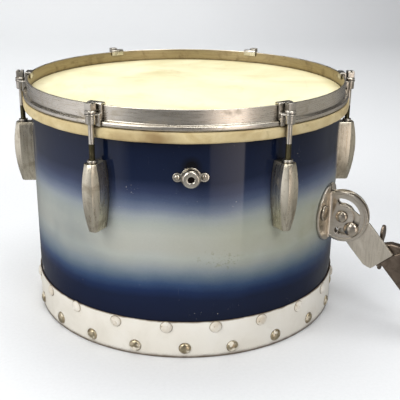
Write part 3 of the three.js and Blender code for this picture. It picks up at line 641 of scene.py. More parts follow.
def make_band_paint():
    material, tree, sockets = shader("band_paint", Specular_IOR_Level=0.4)
    where = own_place(tree)
    cloud = noise(tree, where, 18, 5, 0.6, 0.5)
    base = ramp(tree, cloud, [(0.25, srgb(222, 216, 202)), (0.5, srgb(233, 228, 216)),
                              (0.75, srgb(238, 235, 226))])
    up = add(tree, "SeparateXYZ", Vector=where).outputs[2]
    ragged = between(tree, noise(tree, where, 120, 4), 0, 1, -0.0012, 0.0012)
    level = sums(tree, "ADD", up, ragged)
    # Painted shadow: dark brown along the band's foot, where it meets the floor.
    foot = between(tree, level, 0.0034, 0.0012)
    lip = between(tree, level, BAND_TOP * MM - 0.0016, BAND_TOP * MM - 0.0002)
    band_foot_shadow = mixed(tree, times(tree, foot, 0.85), base, srgb(74, 58, 42))
    lined = mixed(tree, times(tree, lip, 0.9), band_foot_shadow, srgb(96, 74, 48))
    dirt_and_shade = use(tree, tarnish, Scale=55, Cover=0.25)
    marks = use(tree, scuffs, Scratches=0.5, Chips=0.8)
    grubby = mixed(tree, times(tree, dirt_and_shade["Mask"], 0.16), lined, srgb(176, 160, 132))
    chipped = mixed(tree, marks["Chip"], grubby, srgb(120, 98, 70))
    # Painted shade: dark brown round the tack heads and in corners.
    tack_shade = use(tree, crevice_shade, Reach=0.0075, Amount=1.3)["Mask"]
    fill(sockets["Base Color"], mixed(tree, tack_shade, chipped, srgb(92, 76, 56)), tree)
    fill(sockets["Roughness"], between(tree, cloud, 0.3, 0.7, 0.38, 0.55), tree)
    height = sums(tree, "ADD", noise(tree, where, 60, 4), times(tree, cloud, 0.5))
    bumped(tree, sockets, height, 0.3, 0.0006)
    return material


def make_tack_paint():
    material, tree, sockets = shader("tack_paint", Specular_IOR_Level=0.45)
    where = own_place(tree)
    cloud = noise(tree, where, 70, 4)
    base = ramp(tree, cloud, [(0.3, srgb(208, 196, 176)), (0.6, srgb(240, 235, 224))])
    rubbed = use(tree, edge_wear, Width=0.0009, Amount=0.6)["Mask"]
    chips = between(tree, noise(tree, where, 300, 3, 0.7), 0.62, 0.66, 0, 0.75)
    bare = sums(tree, "MAXIMUM", times(tree, rubbed, 0.5), chips)
    fill(sockets["Base Color"], mixed(tree, bare, base, srgb(150, 128, 92)), tree)
    fill(sockets["Roughness"], between(tree, cloud, 0.3, 0.7, 0.3, 0.45), tree)
    bumped(tree, sockets, noise(tree, where, 240, 3), 0.2, 0.0003)
    return material


def make_tack_metal():
    material, tree, sockets = shader("tack_metal")
    where = own_place(tree)
    spots = use(tree, tarnish, Scale=130, Cover=0.6)
    base = mixed(tree, spots["Mask"], srgb(196, 182, 152), srgb(118, 98, 66))
    paint = between(tree, noise(tree, where, 90, 4, 0.6), 0.52, 0.58)
    fill(sockets["Base Color"], mixed(tree, paint, base, srgb(226, 218, 200)), tree)
    fill(sockets["Metallic"], sums(tree, "SUBTRACT", 0.95, paint, clamp=True), tree)
    fill(sockets["Roughness"], between(tree, spots["Mask"], 0, 1, 0.28, 0.5), tree)
    bumped(tree, sockets, noise(tree, where, 260, 3), 0.25, 0.0003)
    return material


# Dark brown grit for the thin disc under each tack head: painted shade round the head.
def make_tack_ring_shade():
    material, tree, sockets = shader("tack_ring_shade", Specular_IOR_Level=0.2)
    where = own_place(tree)
    grit = noise(tree, where, 240, 4, 0.6)
    fill(sockets["Base Color"], ramp(tree, grit, [(0.35, srgb(84, 68, 50)),
                                                  (0.62, srgb(176, 164, 142))]), tree)
    fill(sockets["Roughness"], between(tree, grit, 0.3, 0.7, 0.6, 0.85), tree)
    bumped(tree, sockets, grit, 0.4, 0.0003)
    return material


def make_felt():
    material, tree, sockets = shader("felt", Sheen_Weight=0.4, Roughness=0.95)
    where = own_place(tree)
    fibre = noise(tree, where, 420, 6, 0.75, 2.5)
    fill(sockets["Base Color"], ramp(tree, fibre, [(0.3, srgb(176, 166, 142)),
                                                   (0.7, srgb(226, 218, 196))]), tree)
    bumped(tree, sockets, fibre, 0.9, 0.0009)
    return material


burst_lacquer = make_burst_lacquer()
shell_wood = make_wood("shell_wood", srgb(196, 152, 98), srgb(138, 96, 54), (18, 18, 420))
ring_wood = make_wood("ring_wood", srgb(206, 168, 112), srgb(150, 108, 62), (16, 16, 380), 0.6)
calf_skin = make_calf_skin()
tucked_skin = make_tucked_skin()
hoop_nickel = make_nickel("hoop_nickel", srgb(218, 211, 198), srgb(178, 166, 144), 0.4, 0.26,
                          (50, 50, 900), 0.2, dirt_and_shade=0.95)
hoop_inside = make_nickel("hoop_inside", srgb(168, 153, 122), srgb(128, 111, 82), 0.4, 0.36,
                          (50, 50, 700), 0.1, dirt_and_shade=0.95)
claw_nickel = make_nickel("claw_nickel", srgb(206, 200, 188), srgb(134, 122, 102), 0.45, 0.24,
                          wear=0.3)
lug_nickel = make_nickel("lug_nickel", srgb(222, 214, 194), srgb(146, 132, 108), 0.5, 0.27,
                         (420, 420, 14), 0.45, 0.4, dirt_and_shade=0.7)
rod_nickel = make_nickel("rod_nickel", srgb(206, 200, 188), srgb(140, 128, 108), 0.4, 0.28, wear=0.2)
thread_steel = make_nickel("thread_steel", srgb(84, 78, 54), srgb(52, 47, 33), 0.6, 0.45, wear=0.1)
cheek_nickel = make_nickel("cheek_nickel", srgb(226, 217, 202), srgb(198, 186, 166), 0.25, 0.30,
                           (40, 40, 500), 0.3, dirt_and_shade=0.45)
arm_nickel = make_nickel("arm_nickel", srgb(240, 231, 214), srgb(204, 193, 172), 0.3, 0.42,
                         (900, 900, 60), 0.45, 0.5, 140, 0.6)
bolt_nickel = make_nickel("bolt_nickel", srgb(206, 196, 180), srgb(140, 126, 104), 0.4, 0.22,
                          wear=0.25)
knob_nickel = make_nickel("knob_nickel", srgb(226, 220, 206), srgb(156, 142, 118), 0.35, 0.22)
inner_steel = make_nickel("inner_steel", srgb(140, 138, 134), srgb(92, 84, 74), 0.5, 0.38)
# Near black for the knob's socket: painted shade in the hole.
socket_painted_shade = make_nickel("socket_painted_shade", srgb(34, 31, 29), srgb(18, 16, 15), 0.5, 0.6, wear=0.2)
clamp_bronze = make_nickel("clamp_bronze", srgb(134, 120, 106), srgb(64, 54, 46), 0.6, 0.34,
                           wear=0.95, scale=90)
band_paint = make_band_paint()
tack_paint = make_tack_paint()
tack_metal = make_tack_metal()
tack_ring_shade = make_tack_ring_shade()
felt = make_felt()

# ---- Shell and heads ----


def make_shell():
    wall = rounded([
        (SHELL_INSIDE, SHELL_FOOT + 3.5), (SHELL_RADIUS - 2, SHELL_FOOT), (SHELL_RADIUS, SHELL_FOOT),
        (SHELL_RADIUS, SHELL_TOP), (SHELL_RADIUS - 2, SHELL_TOP), (SHELL_INSIDE, SHELL_TOP - 3.5),
    ], 0.5)
    bm = turned(wall, 240)
    for face in bm.faces:
        middle = face.calc_center_median()
        outside = math.hypot(middle.x, middle.y) > SHELL_RADIUS - 0.35
        face.material_index = 0 if outside else 1
    piece("shell_wall", bm, "drum", (burst_lacquer, shell_wood), ["shell"])


def make_batter_head():
    foot = node_low("batter_head", 2)
    bm = turned(rounded([(0, foot), (HEAD_RADIUS, foot), (HEAD_RADIUS, HEAD_TOP, 0.6),
                         (0, HEAD_TOP)], 0.2, closed=False), 192)
    piece("calf_head", bm, "top_hoop", calf_skin, ["batter_head"])


def make_flesh_hoop():
    top = HOOP_FOOT - 0.3
    collar = node_high("flesh_hoop", 2)
    bm = turned(rounded([
        (BAND_INSIDE, FLESH_FOOT, 0.8), (FLESH_RADIUS, FLESH_FOOT, 3.4), (FLESH_RADIUS, top, 3.0),
        (HEAD_RADIUS, top, 0.3), (HEAD_RADIUS, collar, 0.3), (BAND_INSIDE, collar, 0.2),
    ], 0.5, 6), 240)
    for v in bm.verts:
        out = math.hypot(v.co.x, v.co.y)
        if out > HEAD_RADIUS + 1 and v.co.z < top - 0.5:
            bearing = math.atan2(v.co.y, v.co.x)
            sway = (math.sin(bearing * 17) + math.sin(bearing * 41 + 1) * 0.6) * 0.16
            v.co.x *= 1 - max(sway, 0) / out
            v.co.y *= 1 - max(sway, 0) / out
            v.co.z += sway * 0.6 * (top - v.co.z) / (top - FLESH_FOOT)
    piece("wrapped_flesh_hoop", bm, "top_hoop", tucked_skin, ["flesh_hoop"])


def make_counter_hoop():
    bm = turned(rounded([
        (HOOP_INSIDE, HOOP_FOOT, 0.5), (FLANGE_RADIUS, HOOP_FOOT, 1.6),
        (FLANGE_RADIUS, HOOP_FOOT + 4.7, 1.9), (HOOP_OUTSIDE, HOOP_FOOT + 4.7, 1.4),
        (HOOP_OUTSIDE, HOOP_TOP, 0.75), (HOOP_INSIDE, HOOP_TOP, 0.75),
    ], 0.5, 5), 256)
    for face in bm.faces:
        middle = face.calc_center_median()
        inward = middle.x * face.normal.x + middle.y * face.normal.y < -1
        face.material_index = int(inward and middle.z < HOOP_TOP - 0.8)
    piece("hoop_rim", bm, "top_hoop", (hoop_nickel, hoop_inside), ["counter_hoop"])


def make_bottom_head():
    bm = turned(rounded([
        (0, 0), (BAND_OUTSIDE, 0, 1.2), (BAND_OUTSIDE, BAND_TOP, 0.4), (BAND_INSIDE, BAND_TOP, 0.2),
        (BAND_INSIDE, 1.2, 0.3), (0, 1.2),
    ], 0.3, 3, closed=False), 256)
    for v in bm.verts:
        if v.co.z > 38:
            bearing = math.atan2(v.co.y, v.co.x)
            v.co.z -= 0.35 * (1 + math.sin(bearing * 9 + 0.7) * math.sin(bearing * 4 + 2)) / 2
    piece("bottom_band", bm, "drum", band_paint, ["bottom_head"])


def make_tacks():
    """Two rows of round-headed tacks; the upper row was painted with the band."""
    for row, height, first, material in (("lower", 10.6, -2.1, tack_metal),
                                         ("upper", BAND_TOP - 6, 8.4, tack_paint)):
        for i in range(TACKS_IN_ROW):
            size = 5.75 + random.uniform(-0.3, 0.15)
            # Each head sits on a wider, thin dark disc: painted shade round the tack.
            head, dirt_and_shade = dome(size, 2.8, 0.5, 24, 6), dome(size + 0.5, 0.28, 0.15, 24, 2)
            for face in dirt_and_shade.faces:
                face.material_index = 1
            tack = joined(head, dirt_and_shade)
            bearing = first + 360 / TACKS_IN_ROW * i + random.uniform(-1.0, 1.0)
            lift = height + random.uniform(-0.9, 0.9)
            tilt = turn(random.uniform(-2, 2), "X") @ turn(90, "X")
            place(tack, turn(bearing) @ shift(0, -BAND_OUTSIDE, lift) @ tilt)
            piece(f"tack_{row}_{i + 1}", tack, "drum", (material, tack_ring_shade))


# ---- Tuning stations ----


def claw_mesh():
    """The hook over the hoop's rim, its apron and the flared boss for the rod."""
    hook = standing(plate(rounded([
        (164, HOOP_TOP + 2.3, 1.5), (164, 243.5, 0.8), (166.2, 243.5, 0.8),
        (166.2, HOOP_TOP + 0.3, 0.3), (168.45, HOOP_TOP + 0.3, 0.3), (168.45, 234.3, 0.3),
        (172.3, 234.3, 0.3), (172.3, 229.6, 0.3), (174.3, 229.6, 1.2), (174.3, 241.3, 1.4),
        (171.07, 241.3, 0.6), (171.07, HOOP_TOP + 2.3, 1.7),
    ], 0.4), 15.5, 0.55))
    place(hook, turn(-90))
    boss = turned(rounded([
        (3.0, 232), (4.9, 232, 1.3), (4.9, 239.9, 0.4), (5.5, 240.2, 0.3), (5.5, 241.4, 0.4),
        (3.0, 241.4, 0.2),
    ], 0.3), 40)
    place(boss, shift(0, -ROD_CIRCLE, 0))
    web = block(-4.6, 4.6, -ROD_CIRCLE + 2.2, -173.2, 232.6, 241.3, 0.5)
    shelf = place(plate([(-7.75, 0), (7.75, 0), (5.4, -5.2), (-5.4, -5.2)], 1.7, 0.3),
                  shift(0, -172.2, 240.5))
    web = joined(web, shelf)
    return joined(hook, boss, web)


def rod_mesh():
    profile = [(0, ROD_FOOT), (1.9, ROD_FOOT), (2.35, ROD_FOOT + 0.6)]
    level = ROD_FOOT + 1
    while level < 213.4:
        profile += [(2.4, level), (ROD_RADIUS, level + 0.45), (ROD_RADIUS, level + 0.62)]
        level += ROD_PITCH
    profile += [(2.6, 214.2), (2.6, 240), (ROD_RADIUS, 241.4), (4.9, 241.7), (5.2, 242.0),
                (5.2, 243.6), (4.8, 244.0), (3.6, 244.7), (0, 244.7)]
    shank = turned(profile, 24)
    half = 3.7
    head = standing(plate(rounded([
        (-half, 244.2, 0.5), (half, 244.2, 0.5), (half, ROD_TOP, 0.9), (0.7, ROD_TOP, 0.2),
        (0.7, ROD_TOP - 1.6, 0.2), (-0.7, ROD_TOP - 1.6, 0.2), (-0.7, ROD_TOP, 0.2),
        (-half, ROD_TOP, 0.9),
    ], 0.4), 2 * half, 0.5))
    place(head, turn(-90))
    return joined(shank, head)


def lug_share(share, foot, belly, top):
    end, reach = (foot, 0.6) if share < 0.6 else (top, 0.4)
    return belly + (end - belly) * (abs(share - 0.6) / reach) ** 2


def lug_mesh():
    """A beavertail lug: flat ends, a swelling belly and flutes down its front."""
    levels = 16
    bm = bmesh.new()
    rows = []
    for level in range(levels + 1):
        share = level / levels
        side = lug_share(share, 4.5, 9.2, 6.5)
        flank = lug_share(share, 14.4, 15.2, 15.6)
        crest = lug_share(share, 3.1, 5.5, 3.9)
        front = lug_share(share, 16.6, 22.2, 18.8)
        middle = lug_share(share, 17.0, 23.0, 19.5)
        half = [(side, 0), (side, flank), (crest, front)]
        corners = half + [(0, middle)] + [(-x, y) for x, y in reversed(half)]
        z = LUG_FOOT + (LUG_TOP - LUG_FOOT) * share
        row = []
        for x, y in corners:
            surface = math.sqrt((SHELL_RADIUS + 0.1) ** 2 - x * x)
            row.append(bm.verts.new((x, -(surface if y == 0 else SHELL_RADIUS + y), z)))
        rows.append(row)
    for low, high in zip(rows, rows[1:]):
        for i in range(len(low)):
            j = (i + 1) % len(low)
            bm.faces.new((low[i], low[j], high[j], high[i]))
    bm.faces.new(rows[0])
    bm.faces.new(rows[-1])
    tidy(bm)
    edges = [e for e in bm.edges if e.is_manifold and e.calc_face_angle(0) > 0.12
             and (e.verts[0].co.y < -SHELL_RADIUS - 1 or e.verts[1].co.y < -SHELL_RADIUS - 1)]
    bmesh.ops.bevel(bm, geom=edges, offset=0.55, affect="EDGES", segments=3, profile=0.5,
                    material=-1)
    return tidy(bm)


def lug_nut_mesh():
    bm = turned(rounded([
        (3.0, LUG_TOP - 0.5), (4.1, LUG_TOP - 0.5), (4.1, LUG_TOP + 0.3), (4.7, LUG_TOP + 0.3, 0.3),
        (4.7, LUG_TOP + 2.9, 0.7), (3.0, LUG_TOP + 2.9, 0.2),
    ], 0.2), 32)
    return place(bm, shift(0, -ROD_CIRCLE, 0))


def lug_screw_mesh(height):
    """A screw inside the shell with its washer."""
    head = place(slotted(dome(3.9, 2.4, 0.6), 1, 1.2, 2.4), shift(0, 0, 1.2))
    washer = turned(rounded([(1.5, -0.1), (6.2, -0.1), (6.2, 1.1), (1.5, 1.1)], 0.3), 32)
    shank = turned([(0, -3), (1.9, -3), (1.9, 1.4), (0, 1.4)], 16)
    screw = joined(head, washer, shank)
    return place(screw, shift(0, -SHELL_INSIDE, height) @ turn(-90, "X") @ turn(37))


def make_stations():
    for i, azimuth in enumerate(STATIONS, 1):
        spot = turn(azimuth)
        piece(f"claw_{i}_hook", place(claw_mesh(), spot), "top_hoop", claw_nickel,
              [f"claw_{i}"])
        rod = place(place(rod_mesh(), turn(random.uniform(-8, 8))), spot @ shift(0, -ROD_CIRCLE, 0))
        for face in rod.faces:
            face.material_index = 1 if face.calc_center_median().z < 213.6 else 0
        piece(f"rod_{i}_shank", rod, f"rod_{i}", (rod_nickel, thread_steel),
              [f"tension_rod_{i}"])
        piece(f"lug_{i}_casting", place(lug_mesh(), spot), "drum", lug_nickel,
              [f"lug_{i}"], 30)
        piece(f"lug_{i}_nut_collar", place(lug_nut_mesh(), spot), "drum", rod_nickel,
              [f"lug_nut_{i}"])
        for name, height in (("low", LUG_FOOT + 13), ("high", LUG_TOP - 13)):
            piece(f"lug_{i}_screw_{name}", place(lug_screw_mesh(height), spot), "drum",
                  inner_steel)


# ---- Muffler ----


def wrapped(bm, radius):
    """Bends a plate that stands in X and Z round the drum; its -Y depth becomes the radius."""
    for x in range(-30, 31, 3):
        bmesh.ops.bisect_plane(bm, geom=bm.verts[:] + bm.edges[:] + bm.faces[:],
                               plane_co=(x, 0, 0), plane_no=(1, 0, 0))
    for v in bm.verts:
        out = radius - v.co.y
        v.co.y = -math.sqrt(out * out - v.co.x ** 2)
    return bm


def make_muffler():
    # The plate: a round middle with two ears, drawn as one outline.
    neck = 3.4
    turn_in = math.degrees(math.asin(neck / 9.4))
    ear_in = math.degrees(math.asin(neck / 4.3))
    outline = (arc(9.4, turn_in, 180 - turn_in, 20) + arc(4.3, 180 - ear_in - 50, 180 + ear_in + 50, 14,
                                                         (-EAR_OFFSET, 0))
               + arc(9.4, 180 + turn_in, 360 - turn_in, 20)
               + arc(4.3, -ear_in - 50, ear_in + 50, 14, (EAR_OFFSET, 0)))
    backing = standing(plate(outline, 1.5, 0.35))
    place(backing, shift(0, 0, MUFFLER_HEIGHT))
    wrapped(backing, BAND_INSIDE + 0.75)
    piece("muffler_backplate", backing, "drum", knob_nickel, ["muffler_plate"])
    for name, side in (("left", -1), ("right", 1)):
        head = slotted(dome(2.8, 1.7, 0.3, 28), 0.8, 0.9, 1.7)
        place(head, shift(side * EAR_OFFSET, -166.7, MUFFLER_HEIGHT) @ turn(90, "X")
              @ turn(20 * side + 15))
        piece(f"muffler_{name}_screw_head", head, "drum", bolt_nickel,
              [f"muffler_screw_{name}"])
    knob = turned(rounded([
        (0, -0.1), (KNOB_RADIUS - 0.6, -0.1, 0.5), (KNOB_RADIUS, 1.2, 0.5),
        (KNOB_RADIUS, 5.8, 0.8), (KNOB_RADIUS - 1.6, 7.6, 0.7), (3.6, 7.6, 0.5), (2.9, 6.9, 0.3),
        (2.9, 5.1, 0.5), (0, 5.1),
    ], 0.4, closed=False), 56)
    # The socket's inner faces take the near-black finish, painted shade in the hole.
    for face in knob.faces:
        middle = face.calc_center_median()
        face.material_index = int(math.hypot(middle.x, middle.y) < 2.95 and middle.z > 3)
    place(knob, shift(0, -167.2, MUFFLER_HEIGHT) @ turn(90, "X"))
    piece("muffler_knob_cap", knob, "muffler", (knob_nickel, socket_painted_shade),
          ["muffler_knob"])
    low, high = (Vector(corner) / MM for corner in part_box("muffler_pad"))
    pad = block(low.x, high.x, low.y, high.y, low.z, high.z, 2.4, 4)
    bmesh.ops.subdivide_edges(pad, edges=pad.edges, cuts=1, use_grid_fill=True)
    middle = (low + high) / 2
    for v in pad.verts:
        away = [(v.co[k] - middle[k]) / (high[k] - low[k]) * 2 for k in range(3)]
        pinch = 0.04 * sum(a * a for a in away) / 3
        v.co += (middle - v.co) * pinch
    soft = piece("muffler_felt", pad, "muffler", felt, ["muffler_pad"], 60)


# ---- Holder ----


HOLDER = turn(HOLDER_AZIMUTH - 90)
TILT = HOLDER @ shift(PIVOT[0], 0, PIVOT[1]) @ turn(ARM_TURN, "Y")


def cheek_mesh():
    """The far cheek: a slotted web with a raised rim, and a D-shaped flange on the shell."""
    near, wall = CHEEK_NEAR, CHEEK_WALL
    root = 25.0
    reach = math.degrees(math.asin(root / CHEEK_RADIUS))
    start = SHELL_RADIUS + 0.6 - PIVOT[0]
    outline = arc(CHEEK_RADIUS, -reach, reach, 48) + [(start, root), (start, -root)]
    outer, inner = 20.0, 12.0
    slot = (arc(outer, -100, 98, 36) + arc(4, 98, 278, 12, arc(16, 98, 98, 1)[0])[1:-1]
            + arc(inner, 98, -100, 36) + arc(4, 80, 260, 12, arc(16, -100, -100, 1)[0])[1:-1][::-1])
    web = plate(outline, wall, 0.35, [slot, hole(4.3)])
    lip = []
    for radius, height in ((CHEEK_RADIUS - 0.02, 0), (CHEEK_RADIUS - 0.02, 0.45), (CHEEK_RADIUS - 0.6, 0.8),
                           (CHEEK_RADIUS - 2.4, 0.8), (CHEEK_RADIUS - 3, 0.3), (CHEEK_RADIUS - 3, 0)):
        lip.append((radius, wall / 2 - 0.1 + height))
    rim = place(turned(lip, 80, 250), turn(-125))
    face = standing(joined(web, rim))
    bmesh.ops.recalc_face_normals(face, faces=face.faces)
    place(face, Matrix.Diagonal((1, -1, 1, 1)))
    place(face, shift(PIVOT[0], near + wall / 2, PIVOT[1]))
    # The flange: half an ellipse in (tangential, height), bent onto the shell.
    half = arc(1, -90, 90, 32)
    shape = [(FLANGE_WIDTH * x + near, FLANGE_HEIGHT / 2 * y) for x, y in half]
    flange = place(standing(plate(rounded(shape, 0.4), wall, 0.5)),
                   shift(0, 0, FLANGE_MIDDLE))
    wrapped(flange, BAND_INSIDE + wall / 2)
    place(flange, turn(90))
    # A hollow fillet where the flange turns into the web.
    foot = 167.9
    outer_face = near + wall
    hollow = ([(foot - 1, outer_face - 1), (foot + 3.4, outer_face - 1)]
              + [(foot + 3.4 - 3.4 * math.sin(t), outer_face + 3.4 - 3.4 * math.cos(t))
                 for t in [math.pi / 2 * k / 8 for k in range(9)]] + [(foot - 1, outer_face + 3.2)])
    fillet = place(plate(hollow, 2 * root - 1, 0.1, (), 0), shift(0, 0, PIVOT[1]))
    return joined(face, flange, fillet)


def along_y(bm, matrix, x, y, z, towards=1):
    return place(bm, matrix @ shift(x, y, z) @ turn(-90 * towards, "X"))


def bolt_mesh(head, height, shank, length):
    """A domed bolt: its head above z = 0, its shank below."""
    return joined(dome(head, height, 0.7, 44, 9, 0),
                  turned([(0, -length), (shank - 0.6, -length), (shank, -length + 0.8),
                          (shank, 0.1), (0, 0.1)], 28))


def hex_nut(bore, across=6.4, height=4):
    return place(plate(arc(across, 0, 300, 5), height, 0.5, [hole(bore)]), shift(0, 0, height / 2))


def wing_nut(hub, hub_height, ear, offset, ear_height, wall, bore):
    """A thumb nut along Z with two ears that stand up at its sides, along X."""
    body = turned(rounded([
        (bore, 0), (hub, 0, 0.6), (hub, hub_height * 0.45, 1.5), (hub * 0.78, hub_height, 0.9),
        (bore, hub_height, 0.4),
    ], 0.4), 36)
    parts = [body]
    for side in (-1, 1):
        outline = (arc(ear, -78, 168, 30, (offset, ear_height))
                   + [(hub * 0.45, hub_height * 0.8), (hub * 0.45, hub_height * 0.18),
                      (offset * 0.72, ear_height - ear * 0.72)])
        wing = standing(plate(rounded(outline, 0.6, 2), wall, wall * 0.32, (), 3))
        bmesh.ops.recalc_face_normals(wing, faces=wing.faces)
        parts.append(place(wing, Matrix.Diagonal((side, 1, 1, 1))))
    return joined(*parts)


def make_holder():
    for name, side in (("front", -1), ("back", 1)):
        cheek = place(cheek_mesh(), Matrix.Diagonal((1, side, 1, 1)))
        piece(f"{name}_cheek", place(cheek, HOLDER), "drum", cheek_nickel,
              [f"holder_cheek_{name}"])
        bearing = HOLDER_AZIMUTH + side * math.degrees(FLANGE_BOLT_OFFSET / SHELL_RADIUS)
        bolt = bolt_mesh(8.2, 2.9, 3, 13)
        place(bolt, turn(bearing) @ shift(0, -168.4, FLANGE_BOLT_HEIGHT) @ turn(90, "X"))
        piece(f"{name}_flange_bolt", bolt, "drum", bolt_nickel, [f"holder_bolt_{name}"])
    pivot = along_y(bolt_mesh(6.2, 3.6, 4, 13), HOLDER, PIVOT[0], -4.7, PIVOT[1], -1)
    piece("pivot_bolt_domed", pivot, "drum", bolt_nickel, ["pivot_bolt"])
    nut = along_y(hex_nut(4.1), HOLDER, PIVOT[0], 4.7, PIVOT[1])
    piece("pivot_nut_hex", nut, "drum", inner_steel, ["pivot_nut"])
    lock = along_y(bolt_mesh(7.6, 4.6, 3.7, 24), TILT, 16, -4.7, 0, -1)
    piece("lock_bolt_domed", lock, "tilt_arm", bolt_nickel, ["lock_bolt"])
    wings = along_y(wing_nut(6.4, 12, 6.4, 9.4, 12, 2.6, 3.8), TILT, 16, 4.7, 0)
    piece("lock_wings", wings, "lock_nut", bolt_nickel, ["lock_wing_nut"])


def make_arm():
    left, right, length = -14.2, 18.5, ARM_LENGTH
    outline = rounded(arc(ARM_NOSE_RADIUS, 90, 270, 28) + [
        (17, left, 3), (length - 7.5, left, 1.2), (length, left + 4, 1.2), (length, right, 1.2),
        (22, right, 4),
    ], 0, 4)
    arm = plate(outline, 3.2, 0.45, [hole(4.3), hole(3.9, (16, 0))])
    piece("tilt_arm_plate", place(standing(arm), TILT), "tilt_arm", arm_nickel,
          ["holder_arm"])


def make_clamp():
    length, across, near, wall = ARM_LENGTH, 2.3, CHEEK_NEAR, 14
    along = 53.6
    end = length + 25
    jaw = 107.1
    ear = plate(rounded(arc(11, 128, 270 - 38, 24, (along, across)) + [
        (length + 4, across - 8), (length + 4, 31), (length - 3, 27), (length - 9.5, 21.5)],
        0.8, 3), wall - 3.6, 1.6,
        [hole(3.9, (along, across))], 3)
    outline = rounded([
        (length + 0.4, 0, 1.6), (116.1, 0, 2.5), (116.1, 34, 2.5), (jaw, 34, 1.5), (jaw, 9, 4),
        (end, 9, 4), (end, 34, 1.8), (length + 5, 34, 5), (length + 0.4, across + 14, 2),
    ], 0, 4)
    ribs = [block(x, x + 3.2, 4, 31, -wall / 2 - 0.02, -wall / 2 + 1.2, 0.5)
            for x in (length + 3, length + 18)]
    body = place(joined(plate(outline, wall, 1.4, (), 3), ear, *ribs),
                 shift(0, 0, -(near + wall / 2)))
    piece("clamp_casting", place(standing(body), TILT), "clamp", clamp_bronze,
          ["clamp_body"])
    stud = turned(rounded([(0, -1.2), (3.5, -1.2, 0.4), (3.5, 30.6, 0.8), (0, 30.6)], 0.4,
                          closed=False), 28)
    piece("swivel_stud_pin", along_y(stud, TILT, along, 0, across), "tilt_arm",
          inner_steel, ["swivel_stud"])
    nut = place(wing_nut(7, 12, 9.2, 15.8, 9.6, 3, 3.6), turn(90 - ARM_TURN))
    piece("swivel_wings", along_y(nut, TILT, along, 16.2, across), "swivel_nut",
          clamp_bronze, ["swivel_wing_nut"])
    middle = near + wall / 2
    reach = TILT @ shift(0, middle, 22) @ turn(90, "Y")
    pad = turned(rounded([(0, 101.1), (6.9, 101.1, 0.5), (6.9, 104.1, 0.5), (0, 104.1)], 0.4,
                         closed=False), 40)
    piece("jaw_pad_disc", place(pad, reach), "jaw", inner_steel, ["clamp_jaw_pad"])
    tail = 116.0 + JAW_SCREW_REACH
    screw_profile = [(0, 104.4), (3.2, 104.4)]
    level = 104.8
    while level < tail - 6:
        screw_profile += [(3.15, level), (3.6, level + 0.5), (3.6, level + 0.75)]
        level += JAW_PITCH
    screw_profile += [(3.3, tail - 5.2), (0, tail - 5.2)]
    collar = turned(rounded([(0, tail - 5), (6.5, tail - 5, 0.6), (6.5, tail, 0.8), (0, tail)], 0.4,
                            closed=False), 36)
    thumb = block(-1.4, 1.4, -11, 11, tail - 4, tail + 4, 0.9, 3)
    screw = joined(turned(screw_profile, 24), collar, thumb)
    piece("jaw_thumb_screw", place(screw, reach), "jaw_screw", inner_steel,
          ["clamp_jaw_screw"])


def finish_inner_nodes():
    """The CAD nodes that stay hidden in the drum keep their shape and get their finish."""
    for node, material in (("top_reinforcement_ring", ring_wood),
                           ("bottom_reinforcement_ring", ring_wood),
                           ("muffler_stem", inner_steel), ("muffler_bush", inner_steel),
                           ("muffler_arm", inner_steel), ("holder_nut_front", inner_steel),
                           ("holder_nut_back", inner_steel)):
        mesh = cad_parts[node].data
        mesh.materials.clear()
        mesh.materials.append(material)


make_shell()
make_batter_head()
make_flesh_hoop()
make_counter_hoop()
make_bottom_head()
make_tacks()
make_stations()
make_muffler()
make_holder()
make_arm()
make_clamp()
finish_inner_nodes()

# ---- Stage, light and camera ----


def make_paper():
    material, tree, sockets = shader("studio_paper", Specular_IOR_Level=0.15, Roughness=0.8)
    where = own_place(tree)
    fibre = noise(tree, where, 300, 3)
    tone = ramp(tree, fibre, [(0.3, srgb(232, 233, 234)), (0.7, srgb(236, 237, 238))])
    # Painted shade: the paper darkens to the right, as light falls off away from the lamps.
    across = add(tree, "SeparateXYZ", Vector=where).outputs[0]
    away = between(tree, across, 0.1, 1.1, 0, 1)
    fill(sockets["Base Color"], mixed(tree, away, tone, srgb(208, 209, 211)), tree)
    return material


def make_stage():
    """A pale sweep: the floor runs back and curves up into a wall."""
    bm = bmesh.new()
    line = [(-3.0, 0.0)] + [(1.9 + 0.9 * math.sin(t), 0.9 - 0.9 * math.cos(t))
                            for t in [math.pi / 2 * k / 14 for k in range(15)]] + [(2.8, 3.2)]
    corners = [bm.verts.new((-4, y, z)) for y, z in line]
    edges = [bm.edges.new(pair) for pair in zip(corners, corners[1:])]
    out = bmesh.ops.extrude_edge_only(bm, edges=edges)
    moved = [v for v in out["geom"] if isinstance(v, bmesh.types.BMVert)]
    bmesh.ops.translate(bm, vec=(8, 0, 0), verts=moved)
    bmesh.ops.recalc_face_normals(bm, faces=bm.faces)
    mesh = bpy.data.meshes.new("sweep")
    bm.to_mesh(mesh)
    bm.free()
    mesh.shade_smooth()
    mesh.materials.append(make_paper())
    sweep = bpy.data.objects.new("sweep", mesh)
    bpy.context.scene.collection.objects.link(sweep)
    sweep.visible_glossy = False


def soft_light(name, where, target, size, power, colour=(1, 1, 1)):
    light = bpy.data.lights.new(name, "AREA")
    light.shape = "RECTANGLE"
    light.size, light.size_y = size
    light.energy = power
    light.color = colour
    lamp = bpy.data.objects.new(name, light)
    lamp.location = where
    aim = Vector(target) - Vector(where)
    lamp.rotation_euler = aim.to_track_quat("-Z", "Y").to_euler()
    bpy.context.scene.collection.objects.link(lamp)


